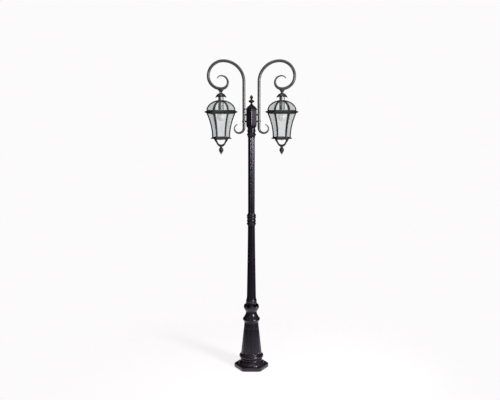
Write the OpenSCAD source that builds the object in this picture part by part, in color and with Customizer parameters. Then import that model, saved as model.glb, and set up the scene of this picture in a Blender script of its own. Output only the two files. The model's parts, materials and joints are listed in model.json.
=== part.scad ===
// Twin-lantern street lamp post: turned and cast post, two scrolled arms, two hexagonal lanterns.
// Millimetres, +Z up, X along the arms, origin at the centre of the base underside.

/* [Base] */
// Corner radius of the hexagonal base plate
base_r = 130; // [120:1:140]
// Thickness of the base plate rim
base_t = 28; // [20:1:36]
// Height of the round dome on the base plate
base_dome_z = 59; // [54:1:66]
// Pitch circle diameter of the anchor holes
anchor_pcd = 214; // [205:1:222]
// Radius of each anchor hole
anchor_r = 5.5; // [4.5:0.5:6.5]
// Number of anchor holes
anchor_n = 3; // [3:1:3]
// Radius of the cable way in the base plate
cable_r = 30; // [20:1:34]

/* [Pedestal] */
// Number of flutes on the pedestal cone
ped_flutes = 12; // [8:1:16]
// Depth of the pedestal flutes
ped_flute_d = 3.5; // [2:0.5:5]
// Number of petals on the collar
petals = 6; // [5:1:8]
// Top of the petals
petal_top = 490; // [486:1:494]

/* [Pole] */
// Wall of both pole tubes
pole_wall = 3; // [2.5:0.5:4]
// Radius of the upper pole over its ridges
upper_r = 25; // [24:0.5:26]
// Number of flutes on the upper pole
upper_flutes = 10; // [8:1:12]
// Depth of the upper pole flutes
upper_flute_d = 2; // [1:0.5:2.5]

/* [Head] */
// Half width of the hexagonal head across its flats
head_a = 38.5; // [37:0.5:40]
// Top of the head
head_top = 1956; // [1950:1:1960]
// Height of the upper arm fixing, where the wires pass
fix_high = 1920; // [1915:1:1925]
// Height of the lower arm fixing
fix_low = 1872; // [1868:1:1878]

/* [Arms] */
// Distance of the arm stem from the post axis
stem_x = 55; // [54:0.5:57]
// Outer radius of the arm tube
arm_r = 10.8; // [10:0.1:11.5]
// Wall of the arm tube
arm_wall = 2.5; // [2:0.25:3]
// Height where the stem turns into the great arch
arch_z = 2159; // [2150:1:2165]
// Radius of the rising quarter of the arch
arch_r1 = 150; // [145:1:155]
// Radius of the falling quarter of the arch
arch_r2 = 109; // [105:1:113]
// Radius of the quarter under the arch, down to the hanger
arch_r3 = 91; // [88:1:94]
// Radius of the wire run inside the arm
wire_r = 2.2; // [1.8:0.1:2.4]

/* [Lantern] */
// Corner radius of the glass dome at its foot
dome_r = 104; // [100:1:108]
// Height of the dome ellipse over its centre
dome_h = 75; // [70:1:80]
// Height of the dome centre
dome_z = 1950; // [1948:1:1952]
// Corner radius at the foot of the lantern body
foot_r = 64; // [60:1:68]
// How far the body flares out at its top
flare = 36.7; // [34:0.1:39]
// Power of the body's flare curve
flare_n = 1.88; // [1.6:0.02:2.2]
// Width of the lantern ribs
rib_w = 9; // [7:0.5:10]
// Glass thickness
glass_t = 3; // [2:0.5:4]
// Distance the bulb backs off before its contact opens
bulb_travel = 3; // [2:0.5:3]

/* [View] */
// The sub-part to draw

/* [Hidden] */
$fn = 96;
fit = 0.05;
gap = 0.3;
lantern_x = stem_x + arch_r1 + arch_r2 - arch_r3;
arch_x = stem_x + arch_r1;
drop_z = arch_z + arch_r1 - arch_r2;
hang_z = drop_z - arch_r3;
arm_in = arm_r - arm_wall;
bore_hub = 5;
turn_r = 8;
turn_z = drop_z - sqrt(pow(arch_r3 + turn_r, 2) - turn_r * turn_r);
turn_a = asin(turn_r / (arch_r3 + turn_r));
eave_z = 1941;
flange_z = 1745;
pane_foot = 1757;
pane_top = 1926.7;
crown_top = 2078;
hub_z = 2062;
holder_z = 1955;
gate_top = flange_z - gap;
hinge_y = 62;
hinge_z = 1740.5;
latch_y = -57;
post_c = [0.13, 0.11, 0.15];
arm_c = [0.27, 0.27, 0.28];
steel_c = [0.62, 0.62, 0.64];
brass_c = [0.75, 0.6, 0.3];
glass_c = [0.8, 0.85, 0.85, 0.5];
white_c = [0.92, 0.91, 0.88];
black_c = [0.08, 0.08, 0.08];

// ---------- shared shapes ----------

// A solid of revolution from [radius, height] points.
module turned(points) {
    rotate_extrude() polygon(points);
}

// Six copies round the axis.
module six(phase = 0) {
    for (k = [0 : 5]) rotate([0, 0, 60 * k + phase]) children();
}

// A 60 degree wedge about +X, its two sides moved in by inset.
module wedge(z0, z1, inset) {
    far = 160;
    half = (far - 2 * inset) * tan(30);
    translate([0, 0, z0]) linear_extrude(z1 - z0)
        polygon([[2 * inset, 0], [far, half], [far, -half]]);
}

// A hexagonal turning whose section is given as [half width across flats, height].
module hex_turned(points) {
    rotate_extrude($fn = 6) polygon([for (p = points) [p[0] / cos(30), p[1]]]);
}

// Six sheets of one section, one to each face, their edges moved in from the corners.
module hex_sheets(points, z0, z1, inset) {
    six(30) intersection() {
        rotate([90, 0, 0]) linear_extrude(320, center = true) polygon(points);
        wedge(z0, z1, inset);
    }
}

// A rib at each corner, from a section given as [corner radius, height].
module corner_ribs(points, width) {
    six() rotate([90, 0, 0]) linear_extrude(width, center = true) polygon(points);
}

module rod_x(x0, x1, y, z, r) {
    translate([x0, y, z]) rotate([0, 90, 0]) cylinder(r = r, h = x1 - x0);
}

module rod_z(x, y, z0, z1, r) {
    translate([x, y, z0]) cylinder(r = r, h = z1 - z0);
}

module nut_x(x0, x1, z, r, bore) {
    difference() {
        translate([x0, 0, z]) rotate([0, 90, 0]) cylinder(r = r, h = x1 - x0, $fn = 6);
        rod_x(x0 - 1, x1 + 1, 0, z, bore);
    }
}

// Draws its children on the +X side or mirrored to the -X side.
module side(s) {
    if (s > 0) children();
    else mirror([1, 0, 0]) children();
}

module both() {
    side(1) children();
    side(-1) children();
}

// The same for pieces drawn about a lantern's own axis.
module lantern(s) {
    side(s) translate([lantern_x, 0, 0]) children();
}

// ---------- curves of the arm ----------

// Paths in the X-Z plane, made of lines [x0, z0, x1, z1] and
// arcs [centre x, centre z, radius, start angle, end angle].
tail_x = lantern_x + (arch_r3 - 45) * cos(262);
tail_z = drop_z + (arch_r3 - 45) * sin(262);
tail_path = [
    [lantern_x, drop_z, arch_r3, 265, 262],
    [tail_x, tail_z, 45, 262, 180],
    [tail_x + 3, tail_z, 48, 180, 90],
    [tail_x + 3, tail_z + 13, 35, 90, 30]
];
scroll_path = [
    [stem_x, 1830, stem_x, 1824],
    [stem_x + 37, 1824, 37, 180, 270],
    [stem_x + 37, 1820, 33, 270, 360],
    [stem_x + 40, 1820, 30, 0, 75]
];
wire_path = [
    [12, fix_high, stem_x - turn_r, fix_high],
    [stem_x - turn_r, fix_high + turn_r, turn_r, 270, 360],
    [stem_x, fix_high + turn_r, stem_x, arch_z],
    [arch_x, arch_z, arch_r1, 180, 90],
    [arch_x, drop_z, arch_r2, 90, 0],
    [lantern_x, drop_z, arch_r3, 360, 270 + turn_a],
    [lantern_x + turn_r, turn_z, turn_r, 90 + turn_a, 180],
    [lantern_x, turn_z, lantern_x, holder_z + 37.5]
];

function is_line(p) = len(p) == 4;
function piece_len(p) =
    is_line(p) ? norm([p[2] - p[0], p[3] - p[1]]) : abs(p[4] - p[3]) * PI / 180 * p[2];
function path_len(path, k = 0) =
    k == len(path) ? 0 : piece_len(path[k]) + path_len(path, k + 1);
// A place on a piece and the unit normal there, as [x, z, normal x, normal z].
function on_piece(p, s) = is_line(p)
    ? let (u = [p[2] - p[0], p[3] - p[1]] / piece_len(p))
        [p[0] + u[0] * s, p[1] + u[1] * s, -u[1], u[0]]
    : let (way = sign(p[4] - p[3]), w = p[3] + way * s / p[2] * 180 / PI)
        [p[0] + p[2] * cos(w), p[1] + p[2] * sin(w), -way * cos(w), -way * sin(w)];
function on_path(path, s, k = 0) =
    (k == len(path) - 1 || s <= piece_len(path[k]))
    ? on_piece(path[k], s)
    : on_path(path, s - piece_len(path[k]), k + 1);
// Distances along the path for the rings: one to a line, one to each step degrees of an arc.
function marks(path, step, k = 0, s = 0) = k == len(path)
    ? [s]
    : let (p = path[k], n = is_line(p) ? 1 : ceil(abs(p[4] - p[3]) / step), l = piece_len(p))
        concat([for (i = [0 : n - 1]) s + l * i / n], marks(path, step, k + 1, s + l));

// A round bar along a path, thinning evenly from r0 to r1; a thinned end is rounded off.
module bar(path, r0, r1, step, sides) {
    total = path_len(path);
    stations = concat(
        [for (s = marks(path, step)) [s, r0 + (r1 - r0) * s / total]],
        r1 < r0 ? [[total + 0.6 * r1, 0.8 * r1], [total + 0.95 * r1, 0.35 * r1]] : []
    );
    rings = len(stations);
    points = [
        for (st = stations, j = [0 : sides - 1])
            let (p = on_path(path, st[0]), a = 360 * j / sides, q = st[1] * cos(a))
            [p[0] + q * p[2], st[1] * sin(a), p[1] + q * p[3]]
    ];
    walls = [
        for (i = [0 : rings - 2], j = [0 : sides - 1])
            let (j1 = (j + 1) % sides)
            [i * sides + j, i * sides + j1, (i + 1) * sides + j1, (i + 1) * sides + j]
    ];
    ends = [
        [for (j = [sides - 1 : -1 : 0]) j],
        [for (j = [0 : sides - 1]) (rings - 1) * sides + j]
    ];
    polyhedron(points, concat(walls, ends));
}

// A ring section swept round part of a circle in the X-Z plane, starting on a quarter turn.
module bent(cx, cz, radius, from, to, outer, inner) {
    translate([cx, 0, cz]) rotate([90, 0, 0]) rotate([0, 0, from])
        rotate_extrude(angle = to - from) translate([radius, 0]) difference() {
            circle(outer);
            if (inner > 0) circle(inner);
        }
}

// ---------- post ----------

module base_plate() {
    color(post_c) difference() {
        union() {
            intersection() {
                cylinder(r = base_r + 4, h = base_t, $fn = 6);
                cylinder(r = base_r, h = base_t);
            }
            turned([
                [0, 20], [99, 20], [99, base_t], [97.5, 34], [93, 40], [86, 45.5], [79.5, 51],
                [75.5, 55.5], [74, base_dome_z], [0, base_dome_z]
            ]);
        }
        translate([0, 0, -1]) cylinder(r = 88, h = 19);
        translate([0, 0, 17]) cylinder(r = 66, h = 35);
        translate([0, 0, 51]) cylinder(r = cable_r, h = 9);
        for (k = [0 : anchor_n - 1]) rotate([0, 0, 60 + 360 / anchor_n * k])
            rod_z(anchor_pcd / 2, 0, -1, base_t + 1, anchor_r);
        for (k = [0 : 2]) rotate([0, 0, 120 * k]) rod_z(45, 0, 51, base_dome_z + 1, 4 + fit);
    }
}

module pedestal() {
    color(post_c) difference() {
        turned([
            [cable_r, 59], [70, 59], [70, 61], [78, 61.5], [82, 64], [83, 67], [82, 70.5],
            [79.5, 73.5], [80.5, 76], [86, 79.5], [90.5, 84], [92, 90], [91, 96], [88, 101.5],
            [83, 106.5], [79, 111], [77.8, 116], [77, 124], [52.8, 350], [52.8, 355],
            [54.7, 358], [54.7, 362], [58, 367], [63, 372], [65, 377], [64, 382], [58, 391],
            [51, 402], [45.5, 413], [42, 423], [41, 430], [41, 438], [18, 438], [18, 430],
            [34, 430], [34, 421], [37, 412], [43, 400], [46, 385], [46, 355], [62, 200],
            [66, 78], [cable_r, 78]
        ]);
        for (k = [0 : ped_flutes - 1])
            rotate([0, 0, 360 / ped_flutes * (k + 0.5) - 90])
                translate([76.6 + 8 - ped_flute_d, 0, 128]) rotate([0, -6.11, 0]) {
                    cylinder(r = 8, h = 184);
                    sphere(8);
                    translate([0, 0, 184]) sphere(8);
                }
        for (k = [0 : 2]) rotate([0, 0, 120 * k]) {
            rod_z(45, 0, 58, 78.5, 4 + fit);
            rod_z(26, 0, 429, 439, 4 + fit);
        }
    }
}

// Hexagon bolts: three up into the pedestal foot, three up into the pole foot ring.
module post_bolts() {
    color(steel_c) for (k = [0 : 2], place = [[45, 52], [26, 430]])
        rotate([0, 0, 120 * k]) translate([place[0], 0, place[1]]) {
            translate([0, 0, -5.5]) cylinder(r = 7.5, h = 5.5, $fn = 6);
            cylinder(r = 4, h = 26);
        }
}

module petal_collar() {
    color(post_c) difference() {
        turned([
            [18, 438], [41, 438], [45, 443], [48.5, 450], [54, 460], [57.5, 469], [58.5, 476],
            [57.5, 483], [54.5, 489], [51.5, petal_top], [50, 488.5], [54, 482], [55, 476],
            [53.5, 469], [49.5, 460], [44, 451], [40, 446], [38, 444], [18, 444]
        ]);
        for (k = [0 : petals - 1]) rotate([0, 0, 360 / petals * k])
            rod_x(36, 66, 0, petal_top + 4, 14);
        for (k = [0 : 2]) rotate([0, 0, 120 * k]) rod_z(26, 0, 437, 445, 4 + fit);
    }
}

module pole_foot_ring() {
    color(post_c) difference() {
        turned([
            [20, 444], [31, 444], [31, 498], [36, 499], [40.5, 502], [42, 506], [41, 510.5],
            [38.6, 513.5], [39.3, 516], [41, 521], [40, 526], [37.4, 531], [36, 537],
            [35.4, 546], [34.45, 546], [34.45, 512], [20, 512]
        ]);
        for (k = [0 : 2]) rotate([0, 0, 120 * k]) rod_z(26, 0, 443, 458, 4 + fit);
        for (k = [0 : 2]) rotate([0, 0, 120 * k + 30]) rod_x(30, 44, 0, 521, 2.5 + fit);
    }
}

module lower_pole() {
    color(post_c) turned([
        [34.4 - pole_wall, 512], [34.4, 512], [34.4, 548], [32.1, 672], [28.4, 911],
        [26.2, 1098], [26.2, 1128], [26.2 - pole_wall, 1128], [26.2 - pole_wall, 1098],
        [28.4 - pole_wall, 911], [32.1 - pole_wall, 672], [34.4 - pole_wall, 548]
    ]);
}

module mid_coupler() {
    color(post_c) difference() {
        turned([
            [26.25, 1095], [28, 1095], [29, 1103], [33, 1108], [34.4, 1113], [33, 1118],
            [29.5, 1121], [30.5, 1124], [32.5, 1129], [33, 1135], [32.5, 1141], [30.5, 1147],
            [29.2, 1150], [31, 1153.5], [34.4, 1159], [33.4, 1164], [30.5, 1167], [32.5, 1170],
            [34.4, 1175], [33, 1180], [29, 1184], [27, 1190], [25.05, 1190], [25.05, 1132],
            [19, 1132], [19, 1128], [26.25, 1128]
        ]);
        for (k = [0 : 2], z = [1113, 1159]) rotate([0, 0, 120 * k + 30])
            rod_x(22, 37, 0, z, 2.5 + fit);
    }
}

module upper_pole() {
    color(post_c) difference() {
        rod_z(0, 0, 1132, 1783, upper_r);
        rod_z(0, 0, 1131, 1784, upper_r - upper_flute_d - pole_wall);
        for (k = [0 : upper_flutes - 1]) rotate([0, 0, 360 / upper_flutes * k - 90])
            rod_z(upper_r + 7 - upper_flute_d, 0, 1189, 1756, 7);
    }
}

module neck_coupler() {
    color(post_c) difference() {
        turned([
            [25.05, 1755], [27, 1755], [28, 1766], [30.5, 1769.5], [33.5, 1776], [31, 1781.5],
            [28.2, 1785.5], [27, 1789.5], [28, 1795], [30.5, 1799], [31, 1803], [30.3, 1808],
            [28.5, 1813], [28, 1819.5], [28.6, 1824], [30, 1829], [24, 1829], [24, 1850],
            [19, 1850], [19, 1783], [25.05, 1783]
        ]);
        for (k = [0 : 2]) rotate([0, 0, 120 * k + 30]) rod_x(22, 37, 0, 1776, 2.5 + fit);
    }
}

// Socket-head grub screws that hold the poles in their sockets.
module grub_screws() {
    color(steel_c) for (k = [0 : 2], place = [[34.4, 521], [26.2, 1113], [25, 1159], [25, 1776]])
        rotate([0, 0, 120 * k + 30]) difference() {
            rod_x(place[0], place[0] + 5.5, 0, place[1], 2.5);
            translate([place[0] + 3, 0, place[1]]) rotate([0, 90, 0])
                cylinder(r = 1.4, h = 4, $fn = 6);
        }
}

module head() {
    color(post_c) difference() {
        rotate([0, 0, 30]) hex_turned([
            [0, 1829], [31, 1829], [35.5, 1833.5], [37.6, 1842], [head_a, 1860], [head_a, 1935],
            [37.2, head_top], [0, head_top]
        ]);
        rotate([0, 0, 30]) translate([0, 0, 1838])
            cylinder(r = (head_a - 4) / cos(30), h = 130, $fn = 6);
        rod_z(0, 0, 1828, 1840, 24 + fit);
        rod_x(-40, 40, 0, fix_high, 4 + fit);
        rod_x(-40, 40, 0, fix_low, 4 + fit);
    }
}

// Cross bar that takes the finial's stud, with a tab for the terminal block.
module head_bracket() {
    w = head_a - 4;
    color(steel_c) difference() {
        union() {
            translate([-w, -8, 1934]) cube([2 * w, 16, 4]);
            translate([-w, -8, 1934]) cube([3, 16, 15]);
            translate([w - 3, -8, 1934]) cube([3, 16, 15]);
            translate([-12, 8, 1902]) cube([24, 3, 36]);
        }
        rod_z(0, 0, 1933, 1939, 3 + fit);
    }
}

module terminal_block() {
    color(white_c) difference() {
        translate([-15, -8, 1906]) cube([30, 16, 24]);
        rod_x(-16, -12, 0, fix_high, wire_r + fit);
        rod_x(12, 16, 0, fix_high, wire_r + fit);
        for (x = [-9, 0, 9]) translate([x, -9, fix_high + 2]) rotate([-90, 0, 0])
            cylinder(r = 2.2, h = 5);
    }
}

module head_cap() {
    color(post_c) difference() {
        rotate([0, 0, 30]) union() {
            hex_turned([
                [0, head_top], [42, head_top], [43, 1958.5], [43, 1962], [40.5, 1964.5],
                [36.8, 1968], [31.5, 1974.5], [24, 1982], [16, 1989], [10.8, 1993.5],
                [9, 1997], [0, 1997]
            ]);
            translate([0, 0, 1950]) cylinder(r = (head_a - 4.3) / cos(30), h = 7, $fn = 6);
        }
        translate([0, 0, 1949]) cylinder(r = 26, h = 25);
        rod_z(0, 0, 1973, 1998, 3 + fit);
    }
}

module finial() {
    color(post_c) turned([
        [0, 1932], [3, 1932], [3, 1997], [8, 1997], [7, 2000], [6.2, 2003], [8.5, 2006.5],
        [13.5, 2009.5], [20, 2014], [22, 2018.7], [20.5, 2022.5], [14, 2026], [7.5, 2029.5],
        [5.8, 2032.5], [6.5, 2035.5], [10.5, 2040], [12.8, 2045], [11.5, 2050], [7.5, 2056],
        [3.5, 2060.5], [1.2, 2063.5], [0, 2065]
    ]);
}

// ---------- arms and wiring ----------

module arm() {
    color(arm_c) {
        difference() {
            rod_z(stem_x, 0, 1824, arch_z, arm_r);
            rod_z(stem_x, 0, 1850, arch_z + 1, arm_in);
            rod_x(stem_x - 20, stem_x, 0, fix_high, 4 + fit);
            rod_x(stem_x - 20, stem_x + 20, 0, fix_low, 4 + fit);
        }
        bent(arch_x, arch_z, arch_r1, 90, 180, arm_r, arm_in);
        bent(arch_x, drop_z, arch_r2, 0, 90, arm_r, arm_in);
        difference() {
            bent(lantern_x, drop_z, arch_r3, 360, 262, arm_r, arm_in);
            rod_z(lantern_x, 0, hang_z - 20, hang_z, bore_hub + fit);
        }
        bar(tail_path, 10.3, 3.2, 9, 20);
        bar(scroll_path, 10.5, 3, 9, 20);
    }
}

module arm_left() { side(-1) arm(); }
module arm_right() { side(1) arm(); }

module arm_spacers() {
    color(arm_c) both() for (z = [fix_high, fix_low]) difference() {
        rod_x(head_a, stem_x - 6, 0, z, 5.8);
        rod_x(head_a - 1, stem_x, 0, z, 4 + fit);
        rod_z(stem_x, 0, z - 20, z + 20, arm_r + 0.02);
    }
}

module wire_nipples() {
    color(brass_c) both() difference() {
        rod_x(23, stem_x - arm_in + 1, 0, fix_high, 4);
        rod_x(22, stem_x, 0, fix_high, 2.5);
    }
}

module arm_bolts() {
    color(steel_c) both() {
        rod_x(22, stem_x + arm_r, 0, fix_low, 4);
        translate([stem_x + arm_r, 0, fix_low]) rotate([0, 90, 0])
            cylinder(r1 = 6.8, r2 = 5, h = 2.5);
    }
}

module head_nuts() {
    color(steel_c) both() for (z = [fix_high, fix_low])
        nut_x(head_a - 10.5, head_a - 4, z, 7.5, 4 + fit);
}

module wire() {
    color(black_c) bar(wire_path, wire_r, wire_r, 9, 12);
}

module wire_left() { side(-1) wire(); }
module wire_right() { side(1) wire(); }

module hanger() {
    color(arm_c) difference() {
        turned([
            [bore_hub + fit, crown_top + gap], [10, crown_top + gap], [10, 2082], [12, 2087],
            [16, 2093], [18, 2098], [18, 2103], [bore_hub + fit, 2103]
        ]);
        translate([-lantern_x, 0, 0])
            bent(lantern_x, drop_z, arch_r3, 180, 360, arm_r + 0.02, 0);
    }
}

module hanger_left() { lantern(-1) hanger(); }
module hanger_right() { lantern(1) hanger(); }

module stems() {
    color(brass_c) both() translate([lantern_x, 0, 0]) difference() {
        rod_z(0, 0, holder_z + 41, hang_z - arm_in + 2.3, bore_hub);
        rod_z(0, 0, holder_z + 40, hang_z, 3.5);
    }
}

module stem_nuts() {
    color(brass_c) both() translate([lantern_x, 0, hub_z - 8.2]) difference() {
        cylinder(r = 9.8, h = 8, $fn = 6);
        translate([0, 0, -1]) cylinder(r = bore_hub + fit, h = 10);
    }
}

module lampholder() {
    color(white_c) turned([
        [13.6, holder_z], [17.3, holder_z], [17.3, holder_z + 34], [12, holder_z + 43],
        [9.5, holder_z + 48], [bore_hub + fit, holder_z + 48], [bore_hub + fit, holder_z + 41],
        [wire_r + 0.3, holder_z + 41], [wire_r + 0.3, holder_z + 37], [3.5, holder_z + 37],
        [3.5, holder_z + 29], [13.6, holder_z + 29]
    ]);
}

module lampholder_left() { lantern(-1) lampholder(); }
module lampholder_right() { lantern(1) lampholder(); }

// ---------- lantern ----------

module crown_cap() {
    color(arm_c) turned([
        [bore_hub + 0.08, crown_top], [11, crown_top], [14, 2075], [22, 2071.5], [31, 2063.5],
        [37.5, 2053.5], [40, 2046.5], [40, 2044.5], [38, 2043.5], [35.5, 2046], [32, 2053],
        [26, 2060], [22, hub_z], [bore_hub + 0.08, hub_z]
    ]);
}

module crown_cap_left() { lantern(-1) crown_cap(); }
module crown_cap_right() { lantern(1) crown_cap(); }

module neck_tube() {
    color(arm_c) turned([
        [17.8, 1958], [19.5, 1958], [19.5, 2010], [24, 2010], [24, 2014], [19.5, 2014],
        [19.5, hub_z], [17.8, hub_z]
    ]);
}

module neck_tube_left() { lantern(-1) neck_tube(); }
module neck_tube_right() { lantern(1) neck_tube(); }

function dome_at(t, d, k) = [(dome_r + d) * cos(t) * k, dome_z + (dome_h + d) * sin(t)];
function dome_strip(t0, t1, d_out, d_in, k) = concat(
    [for (i = [0 : 14]) dome_at(t0 + (t1 - t0) * i / 14, d_out, k)],
    [for (i = [14 : -1 : 0]) dome_at(t0 + (t1 - t0) * i / 14, d_in, k)]
);
function body_at(z) = foot_r + flare * pow(max(0, z - 1762) / 163, flare_n);
function body_strip(z0, z1, d_out, d_in, k) = concat(
    [for (i = [0 : 12]) let (z = z0 + (z1 - z0) * i / 12) [(body_at(z) + d_out) * k, z]],
    [for (i = [12 : -1 : 0]) let (z = z0 + (z1 - z0) * i / 12) [(body_at(z) + d_in) * k, z]]
);

module dome_frame() {
    color(arm_c) difference() {
        union() {
            intersection() {
                union() {
                    corner_ribs(dome_strip(3.9, 78, 1.5, -1, 1), rib_w);
                    corner_ribs(dome_strip(3.9, 78, -1, -6, 1), 5);
                }
                rod_z(0, 0, 1955, 2040, 130);
            }
            corner_ribs([[90, 1946], [95.4, 1946], [95.4, 1955], [99, 1955], [99, 1960],
                [90, 1960]], 5);
            hex_turned([[76, 1944], [83.7, 1944], [83.7, 1951], [76, 1951]]);
            turned([[15, 2014], [27, 2014], [29, 2018], [26.5, 2023], [23, 2026], [15, 2026]]);
        }
        rod_z(0, 0, 1940, 2030, 19.55);
        six(30) rod_z(80, 0, 1943, 1952, 2 + fit);
    }
}

module dome_frame_left() { lantern(-1) dome_frame(); }
module dome_frame_right() { lantern(1) dome_frame(); }

module dome_panes() {
    color(glass_c) intersection() {
        hex_sheets(dome_strip(3, 70.3, -0.7, -0.7 - glass_t, cos(30)), 1940, 2030, 2.7);
        rod_z(0, 0, 1955, 2040, 130);
    }
}

module dome_panes_left() { lantern(-1) dome_panes(); }
module dome_panes_right() { lantern(1) dome_panes(); }

module eave() {
    color(arm_c) difference() {
        hex_turned([
            [76, 1938], [84, 1938], [84, 1927], [87.6, 1927], [93, 1932], [105, 1938.5],
            [107.4, eave_z], [105.5, 1943.5], [93, 1950], [91, 1955], [84, 1955], [84, 1944],
            [76, 1944]
        ]);
        six(30) rod_z(80, 0, 1937, 1945, 2 + fit);
    }
}

module eave_left() { lantern(-1) eave(); }
module eave_right() { lantern(1) eave(); }

module eave_screws() {
    color(steel_c) six(30) translate([80, 0, 1927]) {
        translate([0, 0, -3.5]) cylinder(r = 3.2, h = 3.5);
        cylinder(r = 2, h = 23);
    }
}

module eave_screws_left() { lantern(-1) eave_screws(); }
module eave_screws_right() { lantern(1) eave_screws(); }

module body_frame() {
    color(arm_c) difference() {
        union() {
            corner_ribs(body_strip(1750, 1927, 2, -1, 1), rib_w);
            corner_ribs(body_strip(1750, 1927, -1, -7, 1), 5);
            corner_ribs([[90, 1920], [95.4, 1920], [95.4, 1936], [90, 1936]], 5);
            hex_turned([[76, 1927], [83.7, 1927], [83.7, 1938], [76, 1938]]);
            hex_turned([
                [44, flange_z], [64, flange_z], [67.5, 1748], [66, 1751], [60.5, 1754],
                [58.5, pane_foot], [50.5, pane_foot], [50.5, 1760], [48, 1760], [44, 1756]
            ]);
            for (x = [-13.5, 13.5]) {
                rod_x(x - 3.5, x + 3.5, hinge_y, hinge_z, 4);
                translate([x - 3.5, hinge_y - 4, hinge_z]) cube([7, 8, 5]);
            }
        }
        rod_x(-20, 20, hinge_y, hinge_z, 2.01);
        rod_z(0, latch_y, flange_z - 1, 1752, 2.6);
        six(30) rod_z(80, 0, 1926, 1939, 2 + fit);
    }
}

module body_frame_left() { lantern(-1) body_frame(); }
module body_frame_right() { lantern(1) body_frame(); }

module body_panes() {
    color(glass_c) hex_sheets(
        body_strip(pane_foot, pane_top, -0.6, -0.6 - glass_t / cos(30), cos(30)),
        pane_foot - 1, pane_top + 1, 2.7
    );
}

module body_panes_left() { lantern(-1) body_panes(); }
module body_panes_right() { lantern(1) body_panes(); }

// Bottom door: a disc, two curved legs and the boss for the finial.
module gate() {
    outer = [
        [50, 1740], [47, 1734], [42, 1727.5], [38, 1721], [34.3, 1712], [29, 1702],
        [22, 1694], [14, 1688.5], [10, 1685]
    ];
    inner = [[0, 1703], [8, 1704.5], [14, 1707.5], [19.5, 1712], [25, 1720], [29, 1729],
        [31, 1740]];
    outline = concat(
        [[0, 1685]], [for (i = [8 : -1 : 0]) outer[i]], [for (i = [6 : -1 : 0]) inner[i]]
    );
    color(arm_c) difference() {
        union() {
            rod_z(0, 0, 1739.5, gate_top, 53);
            for (m = [0, 1]) mirror([m, 0, 0])
                rotate([90, 0, 0]) linear_extrude(12, center = true) polygon(outline);
            rod_z(0, 0, 1685, 1698, 10);
            rod_x(-9.7, 9.7, hinge_y, hinge_z, 4);
            translate([-9.7, 46, 1739.5]) cube([19.4, hinge_y - 46, 4.5]);
            translate([-6, -63, 1739.5]) cube([12, 15, 4.5]);
        }
        rod_x(-12, 12, hinge_y, hinge_z, 2.06);
        rod_z(0, latch_y, 1738, 1746, 2 + fit);
        rod_z(0, 0, 1684, 1697, 3 + fit);
    }
}

module gate_left() { lantern(-1) gate(); }
module gate_right() { lantern(1) gate(); }

module gate_pin() {
    color(steel_c) rod_x(-17, 17, hinge_y, hinge_z, 2);
}

module gate_pin_left() { lantern(-1) gate_pin(); }
module gate_pin_right() { lantern(1) gate_pin(); }

module latch_screw() {
    color(steel_c) {
        rod_z(0, latch_y, 1735.5, 1739.5, 4.2);
        rod_z(0, latch_y, 1739.5, 1751, 2);
    }
}

module latch_screw_left() { lantern(-1) latch_screw(); }
module latch_screw_right() { lantern(1) latch_screw(); }

module bottom_finial() {
    color(arm_c) turned([
        [0, 1629], [2, 1631], [5.5, 1637.5], [10.5, 1645.5], [15.3, 1654], [17.5, 1663],
        [16, 1671], [11.5, 1677], [9, 1681], [10, 1685], [3, 1685], [3, 1696], [0, 1696]
    ]);
}

module bottom_finial_left() { lantern(-1) bottom_finial(); }
module bottom_finial_right() { lantern(1) bottom_finial(); }

module contact() {
    color(brass_c) rod_z(0, 0, holder_z + 28.2, holder_z + 36, 3.2);
}

module contact_left() { lantern(-1) contact(); }
module contact_right() { lantern(1) contact(); }

module bulb_cap() {
    color(brass_c) turned([
        [0, 1979], [11.8, 1979], [11.8, 1958], [13.2, 1958], [13.2, 1979], [11, 1981],
        [6, 1981.5], [5, 1983], [0, 1983]
    ]);
}

module bulb_cap_left() { lantern(-1) bulb_cap(); }
module bulb_cap_right() { lantern(1) bulb_cap(); }

module bulb_glass() {
    color(white_c) turned([
        [0, 1875], [9, 1876.4], [17, 1880.3], [24, 1887], [28.5, 1895.5], [30, 1905],
        [28.9, 1914], [25.8, 1922.5], [21.5, 1931], [18, 1938], [15.6, 1945], [14.3, 1950.5],
        [13.2, 1954.5], [13.2, 1958], [11.5, 1958], [11.5, 1954], [12.8, 1950],
        [14.2, 1944.5], [16.7, 1937.5], [20.2, 1930.4], [24.5, 1921.9], [27.4, 1913.8],
        [28.5, 1905], [27.1, 1896], [22.9, 1888], [16.3, 1881.6], [8.7, 1877.9], [0, 1876.5]
    ]);
}

module bulb_glass_left() { lantern(-1) bulb_glass(); }
module bulb_glass_right() { lantern(1) bulb_glass(); }

base_plate();
pedestal();
post_bolts();
petal_collar();
pole_foot_ring();
lower_pole();
mid_coupler();
upper_pole();
neck_coupler();
grub_screws();
head();
head_bracket();
terminal_block();
head_cap();
finial();
arm_left();
arm_right();
arm_spacers();
wire_nipples();
arm_bolts();
head_nuts();
wire_left();
wire_right();
stems();
stem_nuts();
hanger_left();
hanger_right();
lampholder_left();
lampholder_right();
crown_cap_left();
crown_cap_right();
neck_tube_left();
neck_tube_right();
dome_frame_left();
dome_frame_right();
dome_panes_left();
dome_panes_right();
eave_left();
eave_right();
eave_screws_left();
eave_screws_right();
body_frame_left();
body_frame_right();
body_panes_left();
body_panes_right();
gate_left();
gate_right();
gate_pin_left();
gate_pin_right();
latch_screw_left();
latch_screw_right();
bottom_finial_left();
bottom_finial_right();
contact_left();
contact_right();
bulb_cap_left();
bulb_cap_right();
bulb_glass_left();
bulb_glass_right();
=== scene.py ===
"""Looks for a twin-lantern street lamp post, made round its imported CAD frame.

Sizes are in millimetres here and become metres when a mesh is made. Profiles are lists of
[radius, height over the piece's own foot]; each foot comes from the CAD node the piece stands for.
"""

import json
import math

import bpy
import bmesh
import numpy as np

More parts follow.
